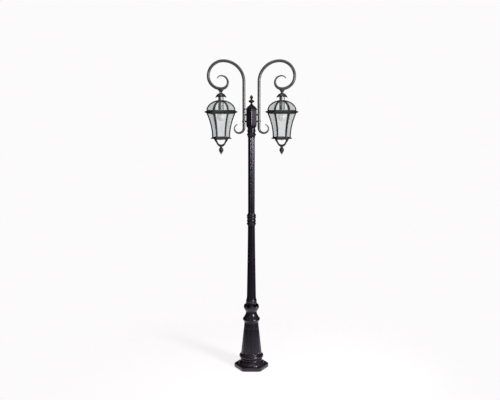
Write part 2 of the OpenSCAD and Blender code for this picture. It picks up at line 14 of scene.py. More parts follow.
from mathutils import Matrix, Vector

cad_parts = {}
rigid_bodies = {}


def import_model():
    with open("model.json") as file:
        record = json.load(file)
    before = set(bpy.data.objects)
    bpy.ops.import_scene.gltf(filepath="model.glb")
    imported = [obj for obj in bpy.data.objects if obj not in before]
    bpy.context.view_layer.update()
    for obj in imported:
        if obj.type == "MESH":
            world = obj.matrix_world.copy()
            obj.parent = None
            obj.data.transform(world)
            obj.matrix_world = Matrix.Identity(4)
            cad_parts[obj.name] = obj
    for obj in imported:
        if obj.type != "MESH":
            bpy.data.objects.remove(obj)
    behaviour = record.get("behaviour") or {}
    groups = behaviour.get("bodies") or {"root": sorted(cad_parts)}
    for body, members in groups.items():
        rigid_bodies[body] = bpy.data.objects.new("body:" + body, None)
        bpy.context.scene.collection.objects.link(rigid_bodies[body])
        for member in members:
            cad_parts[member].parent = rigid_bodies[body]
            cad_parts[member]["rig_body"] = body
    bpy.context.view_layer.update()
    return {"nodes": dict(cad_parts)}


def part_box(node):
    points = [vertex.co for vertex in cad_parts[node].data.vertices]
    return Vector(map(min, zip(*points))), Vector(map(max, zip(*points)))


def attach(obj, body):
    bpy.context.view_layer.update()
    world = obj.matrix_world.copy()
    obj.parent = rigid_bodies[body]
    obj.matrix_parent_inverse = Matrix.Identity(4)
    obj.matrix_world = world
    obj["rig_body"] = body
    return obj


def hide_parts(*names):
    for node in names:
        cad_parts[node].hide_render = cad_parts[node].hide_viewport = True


bl_info = {
    "name": "Twin-Lantern Street Lamp",
    "version": (1, 0, 0),
    "blender": (4, 5, 0),
    "location": "3D View > Sidebar > Street Lamp",
    "description": "Turned post, scrolled arms and glazed lanterns of a street lamp",
    "category": "Add Mesh",
}

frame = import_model()

MM = 0.001
TAU = 2 * np.pi
HALF_SIXTH = math.tan(math.radians(30))
SIDES = ("left", "right")


# ---------- places taken from the frame ----------

def foot(node):
    """Height of a CAD node's lowest point, in millimetres."""
    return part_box(node)[0].z / MM


def axis_of(side):
    """Place of a lantern's own axis along X, from the middle of its crown, in millimetres."""
    low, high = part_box(f"crown_cap_{side}")
    return (low.x + high.x) / 2 / MM


def body_of(node):
    """Name of the CAD body that a node belongs to."""
    return frame["nodes"][node]["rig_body"]


# ---------- shader maths ----------

class Wire:
    """A node's output that can be used in sums: every operator adds one Math node."""

    def __init__(self, shader, socket):
        self.shader, self.socket = shader, socket

    def maths(self, operation, *values):
        return self.shader.add(
            "ShaderNodeMath", {"operation": operation}, dict(enumerate(values)))

    def __add__(self, other):
        return self.maths("ADD", self, other)

    def __radd__(self, other):
        return self.maths("ADD", other, self)

    def __sub__(self, other):
        return self.maths("SUBTRACT", self, other)

    def __mul__(self, other):
        return self.maths("MULTIPLY", self, other)

    def ramp(self, low, high, start=0.0, end=1.0):
        """Rises smoothly from start to end as the value goes from low to high."""
        return self.shader.add(
            "ShaderNodeMapRange", {"interpolation_type": "SMOOTHSTEP"},
            {0: self, 1: low, 2: high, 3: start, 4: end})

    def root(self):
        return self.maths("SQRT", self)


class Shader:
    """A node tree under construction. add() makes any node and gives back one of its outputs."""

    def __init__(self, tree, output):
        tree.nodes.clear()
        self.tree = tree
        self.output = tree.nodes.new(output)

    def add(self, kind, settings=None, inputs=None, out=0):
        """Sets a node's settings, then gives each of its sockets a value or a link."""
        node = self.tree.nodes.new(kind)
        for name, value in (settings or {}).items():
            setattr(node, name, value)
        for name, value in (inputs or {}).items():
            if isinstance(value, Wire):
                self.tree.links.new(value.socket, node.inputs[name])
            else:
                node.inputs[name].default_value = value
        return Wire(self, node.outputs[out])

    def finish(self, surface):
        self.tree.links.new(surface.socket, self.output.inputs["Surface"])

    def place(self):
        return self.add("ShaderNodeTexCoord", out="Object")

    def split(self, vector):
        """The three parts of a vector."""
        first = self.add("ShaderNodeSeparateXYZ", inputs={0: vector})
        outputs = first.socket.node.outputs
        return [Wire(self, outputs[i]) for i in range(3)]

    def noise(self, scale, detail=3.0, roughness=0.55, stretch=(1, 1, 1)):
        """Cloudy values from 0 to 1, scale of them to a metre, stretched along the axes."""
        place = self.add("ShaderNodeMapping", inputs={"Vector": self.place(), "Scale": stretch})
        return self.add("ShaderNodeTexNoise", inputs={
            "Vector": place, "Scale": scale, "Detail": detail, "Roughness": roughness})

    def mix(self, share, first, second):
        """Goes from the first colour to the second as share goes from 0 to 1."""
        return self.add(
            "ShaderNodeMix", {"data_type": "RGBA"}, {0: share, 6: first, 7: second}, out=2)

    def bump(self, height, strength, distance):
        return self.add("ShaderNodeBump", inputs={
            "Height": height, "Strength": strength, "Distance": distance * MM})


def colour(values):
    return (*values[:3], 1.0)


def new_finish(name):
    material = bpy.data.materials.new(f"{name}_finish")
    material.use_nodes = True
    return material, Shader(material.node_tree, "ShaderNodeOutputMaterial")


def cast_paint(name, tint, dusty, gloss, metal=0.0, sheen=(1, 1, 1)):
    """Satin powder coat over castings: cloudy colour, orange-peel skin, sharp edges lightened partly
    as rubbed paint and partly as a painted highlight, and dust on what faces up and on what stands
    low."""
    material, s = new_finish(name)
    clouds = s.noise(14.0, 4.0)
    grain = s.noise(420.0, 2.0)
    peel = s.noise(900.0, 1.0)
    runs = s.noise(55.0, 3.0, stretch=(1, 1, 0.18))
    facing = s.split(s.add("ShaderNodeNewGeometry", out="Normal"))[2]
    height = s.split(s.place())[2]
    edge = s.add("ShaderNodeNewGeometry", out="Pointiness").ramp(0.60, 0.78)
    low_down = height.ramp(0.55, 0.05)
    settled = facing.ramp(0.25, 0.95) * (0.35 + low_down * 0.65) * clouds.ramp(0.3, 0.7)
    dust = (settled + low_down * 0.05 * runs) * dusty
    base = s.mix(clouds.ramp(0.3, 0.75), colour(tint), colour([c * 1.35 for c in tint]))
    # Sharp edges (high pointiness) turn lighter: partly paint rubbed thin, partly a painted highlight
    # where edges catch the light.
    worn_and_highlit = s.mix(edge * grain.ramp(0.35, 0.7) * 0.55, base,
                   colour([0.035 + c * 2.2 for c in tint]))
    dusted = s.mix(dust, worn_and_highlit, (0.075, 0.055, 0.058, 1.0))
    rough = gloss + clouds * 0.1 + grain * 0.06 + dust * 0.3 - edge * 0.06
    skin = s.bump(peel * 0.5 + grain * 0.5, 0.12, 0.08)
    s.finish(s.add("ShaderNodeBsdfPrincipled", inputs={
        "Base Color": dusted, "Roughness": rough, "Metallic": metal,
        "Specular IOR Level": 0.55, "Specular Tint": colour(sheen), "Normal": skin}))
    return material


def post_paint(settings):
    """Near black with a violet cast in its shine."""
    return cast_paint("post_paint", settings.post_colour, settings.dust, 0.17,
                      sheen=(0.92, 0.86, 1.0))


def arm_paint(settings):
    # The arms carry the same dark paint as the lanterns, set lighter here as painted light for the
    # front light falling on them.
    return cast_paint("arm_paint", settings.lit_arm_colour, settings.dust * 0.5, 0.26, 0.3)


def lantern_paint(settings):
    return cast_paint("lantern_paint", settings.lantern_colour, settings.dust * 0.6, 0.24)


def plated(name, tint, stain, rough_low):
    """Plated or rolled metal: a spangle of lighter and darker flakes, fine scratches and stain."""
    material, s = new_finish(name)
    cells = s.add("ShaderNodeTexVoronoi", inputs={"Vector": s.place(), "Scale": 260.0})
    clouds = s.noise(45.0, 4.0)
    scratch = s.noise(160.0, 2.0, stretch=(1, 1, 14))
    shade = s.mix(cells.ramp(0.1, 0.7) * 0.5, colour(tint), colour([c * 0.72 for c in tint]))
    worn = s.mix(clouds.ramp(0.45, 0.8) * 0.45, shade, colour(stain))
    s.finish(s.add("ShaderNodeBsdfPrincipled", inputs={
        "Base Color": worn, "Metallic": 1.0,
        "Roughness": rough_low + clouds * 0.22 + scratch * 0.08,
        "Normal": s.bump(scratch, 0.2, 0.05)}))
    return material


def zinc_steel(settings):
    return plated("zinc_steel", (0.56, 0.57, 0.60), (0.30, 0.27, 0.25), 0.25)


def brass(settings):
    return plated("brass", (0.78, 0.56, 0.24), (0.34, 0.20, 0.08), 0.22)


def satin_tube(settings):
    return plated("satin_tube", (0.42, 0.42, 0.42), (0.26, 0.26, 0.26), 0.32)


def clear_glass(settings):
    """Drawn sheet glass: clear, with slow waves and small seeds that catch the light, a light smear
    of dust, and more gloss where it is seen aslant."""
    material, s = new_finish("clear_glass")
    waves = s.noise(34.0, 3.0, stretch=(1, 1, 0.4))
    seeds = s.add("ShaderNodeTexVoronoi", inputs={"Vector": s.place(), "Scale": 120.0})
    smear = s.noise(75.0, 4.0, stretch=(1, 1, 0.5))
    skin = s.bump(waves + seeds.ramp(0.0, 0.15, 0.08, 0.0), settings.ripple, 2.5)
    aslant = s.add("ShaderNodeLayerWeight", inputs={"Blend": 0.25, "Normal": skin}, out=0)
    tone = s.mix(smear, (0.55, 0.57, 0.57, 1.0), (0.80, 0.82, 0.82, 1.0))
    sheen = s.add("ShaderNodeBsdfPrincipled", inputs={
        "Base Color": tone, "Roughness": 0.06 + smear * 0.1, "Specular IOR Level": 0.8,
        "Normal": skin})
    clear = s.add("ShaderNodeBsdfTransparent", inputs={"Color": colour(settings.glass_colour)})
    solid = 0.02 + waves.ramp(0.35, 0.75) * 0.06 + aslant * 0.14
    s.finish(s.add("ShaderNodeMixShader", inputs={0: solid, 1: clear, 2: sheen}))
    return material


def opal(settings):
    """Opal glass: milky, glossy, a little warmer in its cloudier parts, with a painted glow that
    stands in for light shining through the milky glass.
    """
    material, s = new_finish("opal")
    clouds = s.noise(40.0, 3.0)
    tone = s.mix(clouds, (0.62, 0.62, 0.61, 1.0), (0.56, 0.55, 0.52, 1.0))
    s.finish(s.add("ShaderNodeBsdfPrincipled", inputs={
        "Base Color": tone, "Roughness": 0.12 + clouds * 0.08,
        # Painted glow: an even white emission standing in for light passing through the milky glass,
        # not a lit bulb.
        "Emission Color": (0.95, 0.95, 0.93, 1.0), "Emission Strength": 0.5,
        "Normal": s.bump(clouds, 0.1, 0.2)}))
    return material


def porcelain(settings):
    """Glazed white ceramic with a faint crackle of grey."""
    material, s = new_finish("porcelain")
    crackle = s.add("ShaderNodeTexVoronoi", {"feature": "DISTANCE_TO_EDGE"},
                    {"Vector": s.place(), "Scale": 170.0})
    clouds = s.noise(90.0, 2.0)
    tone = s.mix(crackle.ramp(0.0, 0.04, 0.5, 0.0), (0.82, 0.80, 0.75, 1.0), (0.5, 0.46, 0.4, 1.0))
    s.finish(s.add("ShaderNodeBsdfPrincipled", inputs={
        "Base Color": tone, "Roughness": 0.15 + clouds * 0.12, "Coat Weight": 0.4,
        "Normal": s.bump(clouds, 0.15, 0.1)}))
    return material


def flex(settings):
    """Rubber sheath of the leads: dull black with fine drawn lines."""
    material, s = new_finish("flex")
    lines = s.noise(300.0, 2.0, stretch=(1, 1, 0.1))
    tone = s.mix(lines, (0.012, 0.012, 0.012, 1.0), (0.03, 0.029, 0.028, 1.0))
    s.finish(s.add("ShaderNodeBsdfPrincipled", inputs={
        "Base Color": tone, "Roughness": 0.5 + lines * 0.25, "Normal": s.bump(lines, 0.3, 0.1)}))
    return material


# Each finish and the record's material slot that it belongs to.
FINISHES = {
    "post_paint": (post_paint, "post_paint"),
    "arm_paint": (arm_paint, "arm_paint"),
    "lantern_paint": (lantern_paint, "arm_paint"),
    "zinc_steel": (zinc_steel, "zinc_steel"),
    "satin_tube": (satin_tube, "arm_paint"),
    "brass": (brass, "brass"),
    "clear_glass": (clear_glass, "clear_glass"),
    "opal": (opal, "opal"),
    "porcelain": (porcelain, "porcelain"),
    "flex": (flex, "flex"),
}
finishes_made = {}


def finish_named(name):
    """The material of that name, made the first time it is asked for."""
    if name not in finishes_made:
        finishes_made[name] = FINISHES[name][0](bpy.context.scene.street_lamp_finish)
    return finishes_made[name]


# ---------- surfaces ----------

def turn(count, start=0.0):
    """Evenly spaced angles round a full circle, from start in degrees."""
    return math.radians(start) + np.arange(count) * TAU / count


def hexagon_turn(corner, per_side=24):
    """Angles round a hexagon, drawn together at its corners: u - 0.9 sin(2 pi u) / (2 pi)."""
    u = np.arange(per_side) / per_side
    along = u - 0.9 * np.sin(TAU * u) / TAU
    return math.radians(corner) + (np.arange(6)[:, None] + along).ravel() * TAU / 6


def profile(*runs, steps=5):
    """Catmull-Rom curves through each run of [radius, height] points, joined by sharp turns.

    Between points b and c, with neighbours a and d, the place at t is
    (2b + (c - a)t + (2a - 5b + 4c - d)t^2 + (3b - a - 3c + d)t^3) / 2.
    """
    t = (np.arange(steps) / steps)[None, :, None]
    made = []
    for run in runs:
        p = np.asarray(run, float)
        if len(p) > 2:
            q = np.vstack([2 * p[0] - p[1], p, 2 * p[-1] - p[-2]])[:, None]
            a, b, c, d = q[:-3], q[1:-2], q[2:-1], q[3:]
            curve = (2 * b + (c - a) * t + (2 * a - 5 * b + 4 * c - d) * t**2
                     + (3 * b - a - 3 * c + d) * t**3) / 2
            p = np.vstack([curve.reshape(-1, 2), p[-1:]])
        made.append(p)
    return np.vstack(made)


def line(start, end, count):
    """Evenly spaced points on a straight line."""
    return np.linspace(start, end, count)


def turned(section, form=None, angles=None, centre=0.0, base=0.0, closed=False):
    """A profile carried round a vertical axis: x = r cos a, y = r sin a, z = height. A form takes
    (a, r, z) and gives a new r and z, so it can flute, facet or scallop the turning."""
    a = (turn(96) if angles is None else angles)[None, :]
    r, z = section[:, :1], section[:, 1:]
    if form:
        r, z = form(a, r, z)
    r, z, a = np.broadcast_arrays(r, z, a)
    return np.stack([centre + r * np.cos(a), r * np.sin(a), base + z], -1), closed, True


def off_centre(a, count, centre):
    """How far each angle is from the nearest of count even spaced centres, in radians."""
    pitch = TAU / count
    return (a - math.radians(centre) + pitch / 2) % pitch - pitch / 2


def fluted(count, depth, half_width, low, high, centre=-90.0):
    """Takes depth (1 - x^2 - e^2) off the radius: x is the way round from a flute's centre line
    over its half width, e the height past the flute's straight part over the same."""
    def form(a, r, z):
        x = r * off_centre(a, count, centre) / half_width
        past = np.maximum(low + half_width - z, z - high + half_width)
        e = np.maximum(0, past) / half_width
        return r - depth * np.clip(1 - x**2 - e**2, 0, None), z
    return form


def hexagonal(flat, power=40.0, round_from=None, round_to=None):
    """Reads the radius as half the width across flats and divides it by the p-th root of the sum
    of cos^p of the angle to each flat, so corners soften as p falls. From round_from to round_to
    the hexagon turns into a circle."""
    def form(a, r, z):
        facing = np.clip(np.cos(a[..., None] - math.radians(flat) - turn(6)), 0, None)
        reach = (facing**power).sum(-1) ** (-1 / power)
        if round_from is not None:
            t = np.clip((z - round_from) / (round_to - round_from), 0, 1)
            reach = reach + (1 - reach) * t * t * (3 - 2 * t)
        return r * reach, z
    return form


def along(path):
    """Unit vectors along a path, from the difference of each point's two neighbours."""
    step = np.gradient(path, axis=0)
    return step / np.linalg.norm(step, axis=1, keepdims=True)


def arc(centre_x, centre_z, radius, start, end, step=3.0):
    """Part of a circle in the X-Z plane, angles in degrees."""
    a = np.radians(np.linspace(start, end, max(2, round(abs(end - start) / step) + 1)))
    return np.stack([centre_x + radius * np.cos(a), centre_z + radius * np.sin(a)], -1)


def tube(path, radius, sides=32, bulge=1.0, y=0.0):
    """A round section carried along a path in the X-Z plane: each ring is the path's point plus
    radius times (cos a of the path's normal + sin a of Y). Half ellipsoids close the ends."""
    path = path[np.r_[True, np.linalg.norm(np.diff(path, axis=0), axis=1) > 1e-4]]
    radius = np.broadcast_to(np.asarray(radius, float), len(path))
    lean = along(path)
    swell = np.radians(np.linspace(0, 90, 8)[1:])[:, None]
    first = path[0] - lean[0] * radius[0] * bulge * np.sin(swell[::-1])
    last = path[-1] + lean[-1] * radius[-1] * bulge * np.sin(swell)
    path = np.vstack([first, path, last])
    lean = np.vstack([lean[[0] * 7], lean, lean[[-1] * 7]])
    radius = np.concatenate([
        radius[0] * np.cos(swell[::-1, 0]), radius, radius[-1] * np.cos(swell[:, 0])])[:, None]
    a = turn(sides)[None, :]
    out = radius * np.cos(a)
    return np.stack([path[:, :1] - lean[:, 1:] * out, y + radius * np.sin(a),
                     path[:, 1:] + lean[:, :1] * out], -1), False, True


def band(path, thickness, width, power=5.0, sides=40):
    """A rounded oblong section carried along a path in the X-Z plane. The section is a
    superellipse: cos a and sin a each raised to 2 / power, times half the thickness and width.
    Its first and last rings shrink to a point, which closes the ends."""
    lean = along(path)
    a = turn(sides)[None, :]
    round_off = lambda v: np.sign(v) * np.abs(v) ** (2 / power)
    size = np.ones((len(path), 1))
    size[[0, -1]] = 0
    out = round_off(np.cos(a)) * size * np.reshape(thickness, (-1, 1)) / 2
    across = round_off(np.sin(a)) * size * width / 2
    return np.stack([path[:, :1] - lean[:, 1:] * out, across,
                     path[:, 1:] + lean[:, :1] * out], -1), False, True


def block(low, high, power=8.0):
    """A box with rounded edges: a superellipsoid, whose x, y and z are the cosines and sines of
    two angles raised to 2 / power, between the low and high corners."""
    low, high = np.array(low, float), np.array(high, float)
    u, v = turn(32)[None, :], np.radians(np.linspace(-90, 90, 17))[:, None]
    sharpen = lambda w: np.sign(w) * np.abs(w) ** (2 / power)
    unit = np.stack(np.broadcast_arrays(
        sharpen(np.cos(v)) * sharpen(np.cos(u)), sharpen(np.cos(v)) * sharpen(np.sin(u)),
        sharpen(np.sin(v))), -1)
    unit[[0, -1], :, :2] = 0
    return (low + high) / 2 + unit * (high - low) / 2, False, True


def slab(outer, inner):
    """A closed sheet between two like grids: its two faces and the four edges between them."""
    edges = [np.stack([outer[0], inner[0]]), np.stack([outer[-1], inner[-1]]),
             np.stack([outer[:, 0], inner[:, 0]]), np.stack([outer[:, -1], inner[:, -1]])]
    return [(grid, False, False) for grid in [outer, inner, *edges]]


def hexagon_sheet(section, flat, inset, across=13):
    """One face of a hexagonal shell: for each [half width across flats, height] a straight row of
    points, square to the face's direction and as long as the flat less an inset at each end."""
    reach, height = section[:, :1], section[:, 1:]
    side = (reach * HALF_SIXTH - inset) * np.linspace(-1, 1, across)
    c, s = math.cos(math.radians(flat)), math.sin(math.radians(flat))
    return np.stack([reach * c - side * s, reach * s + side * c, height + 0 * side], -1)


def rib(curve, section, corner):
    """A section of [across, out] points carried up a [radius, height] curve that stands at one
    corner. Out is square to the curve. The end rings shrink to a point, which closes them."""
    lean = along(curve)
    section = np.asarray(section, float)[None]
    size = np.ones((len(curve), 1))
    size[[0, -1]] = 0
    across, out = section[..., 0] * size, section[..., 1] * size
    r = curve[:, :1] + lean[:, 1:] * out
    z = curve[:, 1:] - lean[:, :1] * out
    c, s = math.cos(math.radians(corner)), math.sin(math.radians(corner))
    return np.stack([r * c - across * s, r * s + across * c, z], -1), False, True


def moved(patches, x=0.0, z=0.0):
    """The same patches, carried along X and Z."""
    return [(grid + (x, 0, z), rows, cols) for grid, rows, cols in patches]


def mirrored(patches):
    """The same patches on the other side of the post."""
    return [(grid * (-1, 1, 1), rows, cols) for grid, rows, cols in patches]


def joined(patches):
    """All the points of several grids, and the four corners of every cell between rows i, i + 1
    and columns j, j + 1, wrapped round where a grid closes on itself."""
    points, cells, start = [], [], 0
    for grid, wrap_rows, wrap_cols in patches:
        rows, cols = grid.shape[:2]
        i, j = np.meshgrid(np.arange(rows - (not wrap_rows)), np.arange(cols - (not wrap_cols)),
                           indexing="ij")
        after_i, after_j = (i + 1) % rows, (j + 1) % cols
        cells.append(start + np.stack(
            [i * cols + j, i * cols + after_j, after_i * cols + after_j, after_i * cols + j],
            -1).reshape(-1, 4))
        points.append(grid.reshape(-1, 3))
        start += rows * cols
    return np.vstack(points), np.vstack(cells)


def place(name, patches, finish, *nodes, crease=34.0):
    """Makes one piece from its patches, gives it a finish, and lets it stand for CAD nodes: doubled
    points are merged, faces turned outwards and edges sharper than the crease kept hard."""
    points, cells = joined(patches)
    mesh = bpy.data.meshes.new(name)
    mesh.vertices.add(len(points))
    mesh.vertices.foreach_set("co", (points * MM).ravel())
    mesh.loops.add(cells.size)
    mesh.loops.foreach_set("vertex_index", cells.ravel())
    mesh.polygons.add(len(cells))
    mesh.polygons.foreach_set("loop_start", np.arange(len(cells)) * 4)
    mesh.update(calc_edges=True)
    shape = bmesh.new()
    shape.from_mesh(mesh)
    bmesh.ops.remove_doubles(shape, verts=shape.verts, dist=0.004 * MM)
    bmesh.ops.recalc_face_normals(shape, faces=shape.faces)
    shape.to_mesh(mesh)
    shape.free()
    mesh.shade_smooth()
    mesh.set_sharp_from_angle(angle=math.radians(crease))
    piece = bpy.data.objects.new(name, mesh)
    bpy.context.scene.collection.objects.link(piece)
    piece.data.materials.append(finish_named(finish))
    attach(piece, body_of(nodes[0]))
    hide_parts(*nodes)
    return piece


def both_lanterns(part, patches, finish, crease=34.0):
    """Places one piece on each lantern, from patches drawn about the lantern's own axis."""
    for side in SIDES:
        place(f"{part}_shape_{side}", moved(patches, x=axis_of(side)), finish,
              f"{part}_{side}", crease=crease)


# ---------- settings ----------

class StreetLampPost(bpy.types.PropertyGroup):
    """Sizes of the post"""
    flute_depth: bpy.props.FloatProperty(
        name="Flute Depth", description="Depth of the flutes of the pedestal, in millimetres",
        default=3.5, min=0.0, max=6.0)
    pole_flute_depth: bpy.props.FloatProperty(
        name="Pole Flute Depth", description="Depth of the upper pole's flutes, in millimetres",
        default=2.2, min=0.0, max=3.0)
    stripe_depth: bpy.props.FloatProperty(
        name="Stripe Depth", description="Depth of the lower pole's faint flutes, in millimetres",
        default=0.7, min=0.0, max=1.5)


class StreetLampFinish(bpy.types.PropertyGroup):
    """Colours and surfaces"""
    post_colour: bpy.props.FloatVectorProperty(
        name="Post Colour", description="Paint of the post", subtype="COLOR", size=3,
        default=(0.0088, 0.0062, 0.0112), min=0.0, max=1.0)
    # Lighter than the lantern colour though it is the same paint: painted light standing in for the
    # front light on the arms.
    lit_arm_colour: bpy.props.FloatVectorProperty(
        name="Arm Colour", description="Paint of the arms", subtype="COLOR", size=3,
        default=(0.095, 0.095, 0.096), min=0.0, max=1.0)
    lantern_colour: bpy.props.FloatVectorProperty(
        name="Lantern Colour", description="Paint of the lantern cages", subtype="COLOR", size=3,
        default=(0.030, 0.030, 0.030), min=0.0, max=1.0)
    glass_colour: bpy.props.FloatVectorProperty(
        name="Glass Colour", description="Tint of the panes", subtype="COLOR", size=3,
        default=(0.93, 0.935, 0.935), min=0.0, max=1.0)
    ripple: bpy.props.FloatProperty(
        name="Ripple", description="Strength of the waves in the panes", subtype="FACTOR",
        default=0.3, min=0.0, max=1.0)
    dust: bpy.props.FloatProperty(
        name="Dust", description="Dust on ledges and low down", subtype="FACTOR",
        default=0.35, min=0.0, max=1.0)


class StreetLampStage(bpy.types.PropertyGroup):
    """Camera, lights and floor"""
    lens: bpy.props.FloatProperty(
        name="Lens", description="Focal length, in millimetres", default=50.78, min=20.0, max=200.0)
    tilt: bpy.props.FloatProperty(
        name="Tilt", description="How far the camera looks down", subtype="ANGLE",
        unit="ROTATION", default=math.radians(7.77))
    distance: bpy.props.FloatProperty(
        name="Distance", description="From the camera to the post", unit="LENGTH", default=5.2)
    height: bpy.props.FloatProperty(
        name="Height", description="Height of the camera", unit="LENGTH", default=2.0)
    room_light: bpy.props.FloatProperty(
        name="Room Light", description="Brightness of the light from all round", default=0.11)
    floor_colour: bpy.props.FloatVectorProperty(
        name="Floor Colour", description="Plain floor", subtype="COLOR", size=3,
        default=(0.40, 0.39, 0.395), min=0.0, max=1.0)


# ---------- post ----------

class LAMP_OT_base_plate(bpy.types.Operator):
    """Six-sided base plate with three anchor holes and a turned dome"""
    bl_idname = "street_lamp.base_plate"
    bl_label = "Base Plate"

    apothem, thickness, soft = 116.05, 28.0, 23.0
    well, hole_circle, hole = 88.0, 107.0, 5.5
    across = 41
    # Inset and height of each row up the rim.
    rim = np.array([[2.6, 0], [0.8, 0.8], [0, 2.6], [0, 24.6], [0.5, 26.6], [1.8, 27.7], [3.6, 28]])

    def sector(self, corner, hole):
        """One sixth of the plate about a corner. Its top and underside are grids of loops that go
        from the hole's circle (u = 0) to the sector's own border (u = 1), matched by direction;
        the border runs along the rim, a side, the well and the other side."""
        outline = hexagonal(30.0, self.soft)
        sweep = np.radians(np.linspace(-30, 30, self.across))
        inset, height = self.rim[:, :1], self.rim[:, 1:]
        reach = outline(sweep[None, :], self.apothem - inset, height)[0]
        rim = np.stack(np.broadcast_arrays(
            reach * np.cos(sweep), reach * np.sin(sweep), height), -1)
        ends = [np.array([math.cos(a), math.sin(a)]) for a in sweep[[0, -1]]]
        edge = rim[-1][:, :2]
        out_in = np.linspace(0, 1, 9)[1:-1, None]
        sides = [end * self.well * out_in + start * (1 - out_in)
                 for start, end in ((edge[-1], ends[1]), (edge[0], ends[0]))]
        well = self.well * np.stack([np.cos(sweep[::-1]), np.sin(sweep[::-1])], -1)
        border = np.vstack([edge, sides[0], well, sides[1][::-1]])
        middle = np.array([self.hole_circle, 0.0])
        way = border - middle
        ring = middle + hole * way / np.linalg.norm(way, axis=1, keepdims=True)
        u = np.array([0, 0.06, 0.2, 0.45, 0.75, 1])[:, None, None]
        flat = ring * (1 - u) + border * u
        lid = np.concatenate([flat, np.full_like(flat[..., :1], self.thickness)], -1)
        floor = lid * (1, 1, 0)
        under_rim = np.stack([floor[-1, :len(edge)], rim[0]])
        start = len(edge) + len(sides[0])
        around_well = slice(start, start + len(well))
        patches = [(lid, False, True), (floor, False, True), (rim, False, False),
                   (under_rim, False, False),
                   (np.stack([lid[-1, around_well], floor[-1, around_well]]), False, False)]
        if hole:
            patches.append((np.stack([lid[0], floor[0]]), False, True))
        c, s = math.cos(math.radians(corner)), math.sin(math.radians(corner))
        spin = np.array([[c, s, 0], [-s, c, 0], [0, 0, 1]])
        return [(grid @ spin, rows, cols) for grid, rows, cols in patches]

    def execute(self, context):
        plate = []
        for k in range(6):
            plate += self.sector(60 * k, self.hole if k % 2 else 0.0)
        dome = profile(
            [[30, 59], [30, 51]], [[66, 51], [66, 17]], [[99, 17], [99, 28]],
            [[99, 28], [98, 33], [93.5, 40], [86, 46], [79, 51.6], [75.5, 55.5], [74.4, 59]])
        plate.append(turned(dome, angles=turn(120), closed=True))
        place("base_plate_shape", plate, "post_paint", "base_plate")
        return {"FINISHED"}


class LAMP_OT_pedestal(bpy.types.Operator):
    """Fluted cone between a double bead and a bulb"""
    bl_idname = "street_lamp.pedestal"
    bl_label = "Pedestal"

    def execute(self, context):
        sizes = context.scene.street_lamp_post
        section = profile(
            [[30, 0], [70, 0]], [[70, 0], [70, 2]],
            [[75, 2], [79.5, 3], [82.4, 5.6], [83, 8.5], [82, 11.8], [79.5, 14.5]],
            [[80.5, 16.6], [86, 20], [90.5, 25], [92, 31], [91, 37], [88, 42.7], [83.2, 47.8],
             [79.6, 52], [77.9, 57]],
            line([77.4, 61], [52.8, 291], 90),
            [[52.8, 291], [52.8, 296]], [[54, 296.6], [54.9, 299], [54.7, 302.8]],
            [[57, 306.4], [61.2, 310.6], [64.2, 315.4], [64.6, 320.6], [62.6, 327], [58, 333],
             [51, 343.5], [45.6, 354], [42.2, 364], [41, 371]],
            [[41, 371], [41, 379]], [[18, 379], [18, 371]], [[34, 371], [34, 362]],
            [[43, 341], [46, 326]], [[46, 296], [62, 141]], [[66, 19], [30, 19]])
        flutes = fluted(12, sizes.flute_depth, 6.6, 63, 257, centre=-75.0)
        outer_only = lambda a, r, z: (np.where(r > 50, flutes(a, r, z)[0], r + 0 * a), z)
        body = turned(section, outer_only, turn(216, -90), base=foot("pedestal"), closed=True)
        place("pedestal_shape", [body], "post_paint", "pedestal")
        return {"FINISHED"}


class LAMP_OT_petal_collar(bpy.types.Operator):
    """Cup of six petals round the foot of the pole"""
    bl_idname = "street_lamp.petal_collar"
    bl_label = "Petal Collar"

    def execute(self, context):
        section = profile(
            [[18, 0], [41, 0]],
            [[41, 0], [45, 5], [48.5, 12], [53.6, 21.5], [57.2, 31], [58.5, 38.5], [57.6, 45],
             [54.8, 50], [52.4, 52]],
            [[52.4, 52], [51, 52], [50.6, 50.8]],
            [[50.6, 50.8], [53.4, 45.5], [54.8, 38.5], [53.4, 31], [49.6, 22], [44, 13],
             [40, 8]], [[40, 8], [38, 6]], [[18, 6], [18, 0]])

        def petals(a, r, z):
            """Lowers the upper part between petals along circles of radius 15 whose centres stand
            4 over the rim, and puffs each petal's middle out a little."""
            off = 54 * off_centre(a, 6, 0.0)
            dip = np.clip(np.sqrt(np.clip(15.0**2 - off**2, 0, None)) - 4, 0, None)
            lift = np.clip((z - 14) / 38, 0, 1) ** 1.5
            puff = 1.6 * lift * np.cos(3 * (a - math.radians(30))) ** 2 * (r > 42)
            return r + puff * (dip == 0) - 0.12 * dip * lift * (r > 42), z - dip * lift

        body = turned(section, petals, turn(240, -90), base=foot("petal_collar"), closed=True)
        place("petal_collar_shape", [body], "post_paint", "petal_collar")
        return {"FINISHED"}


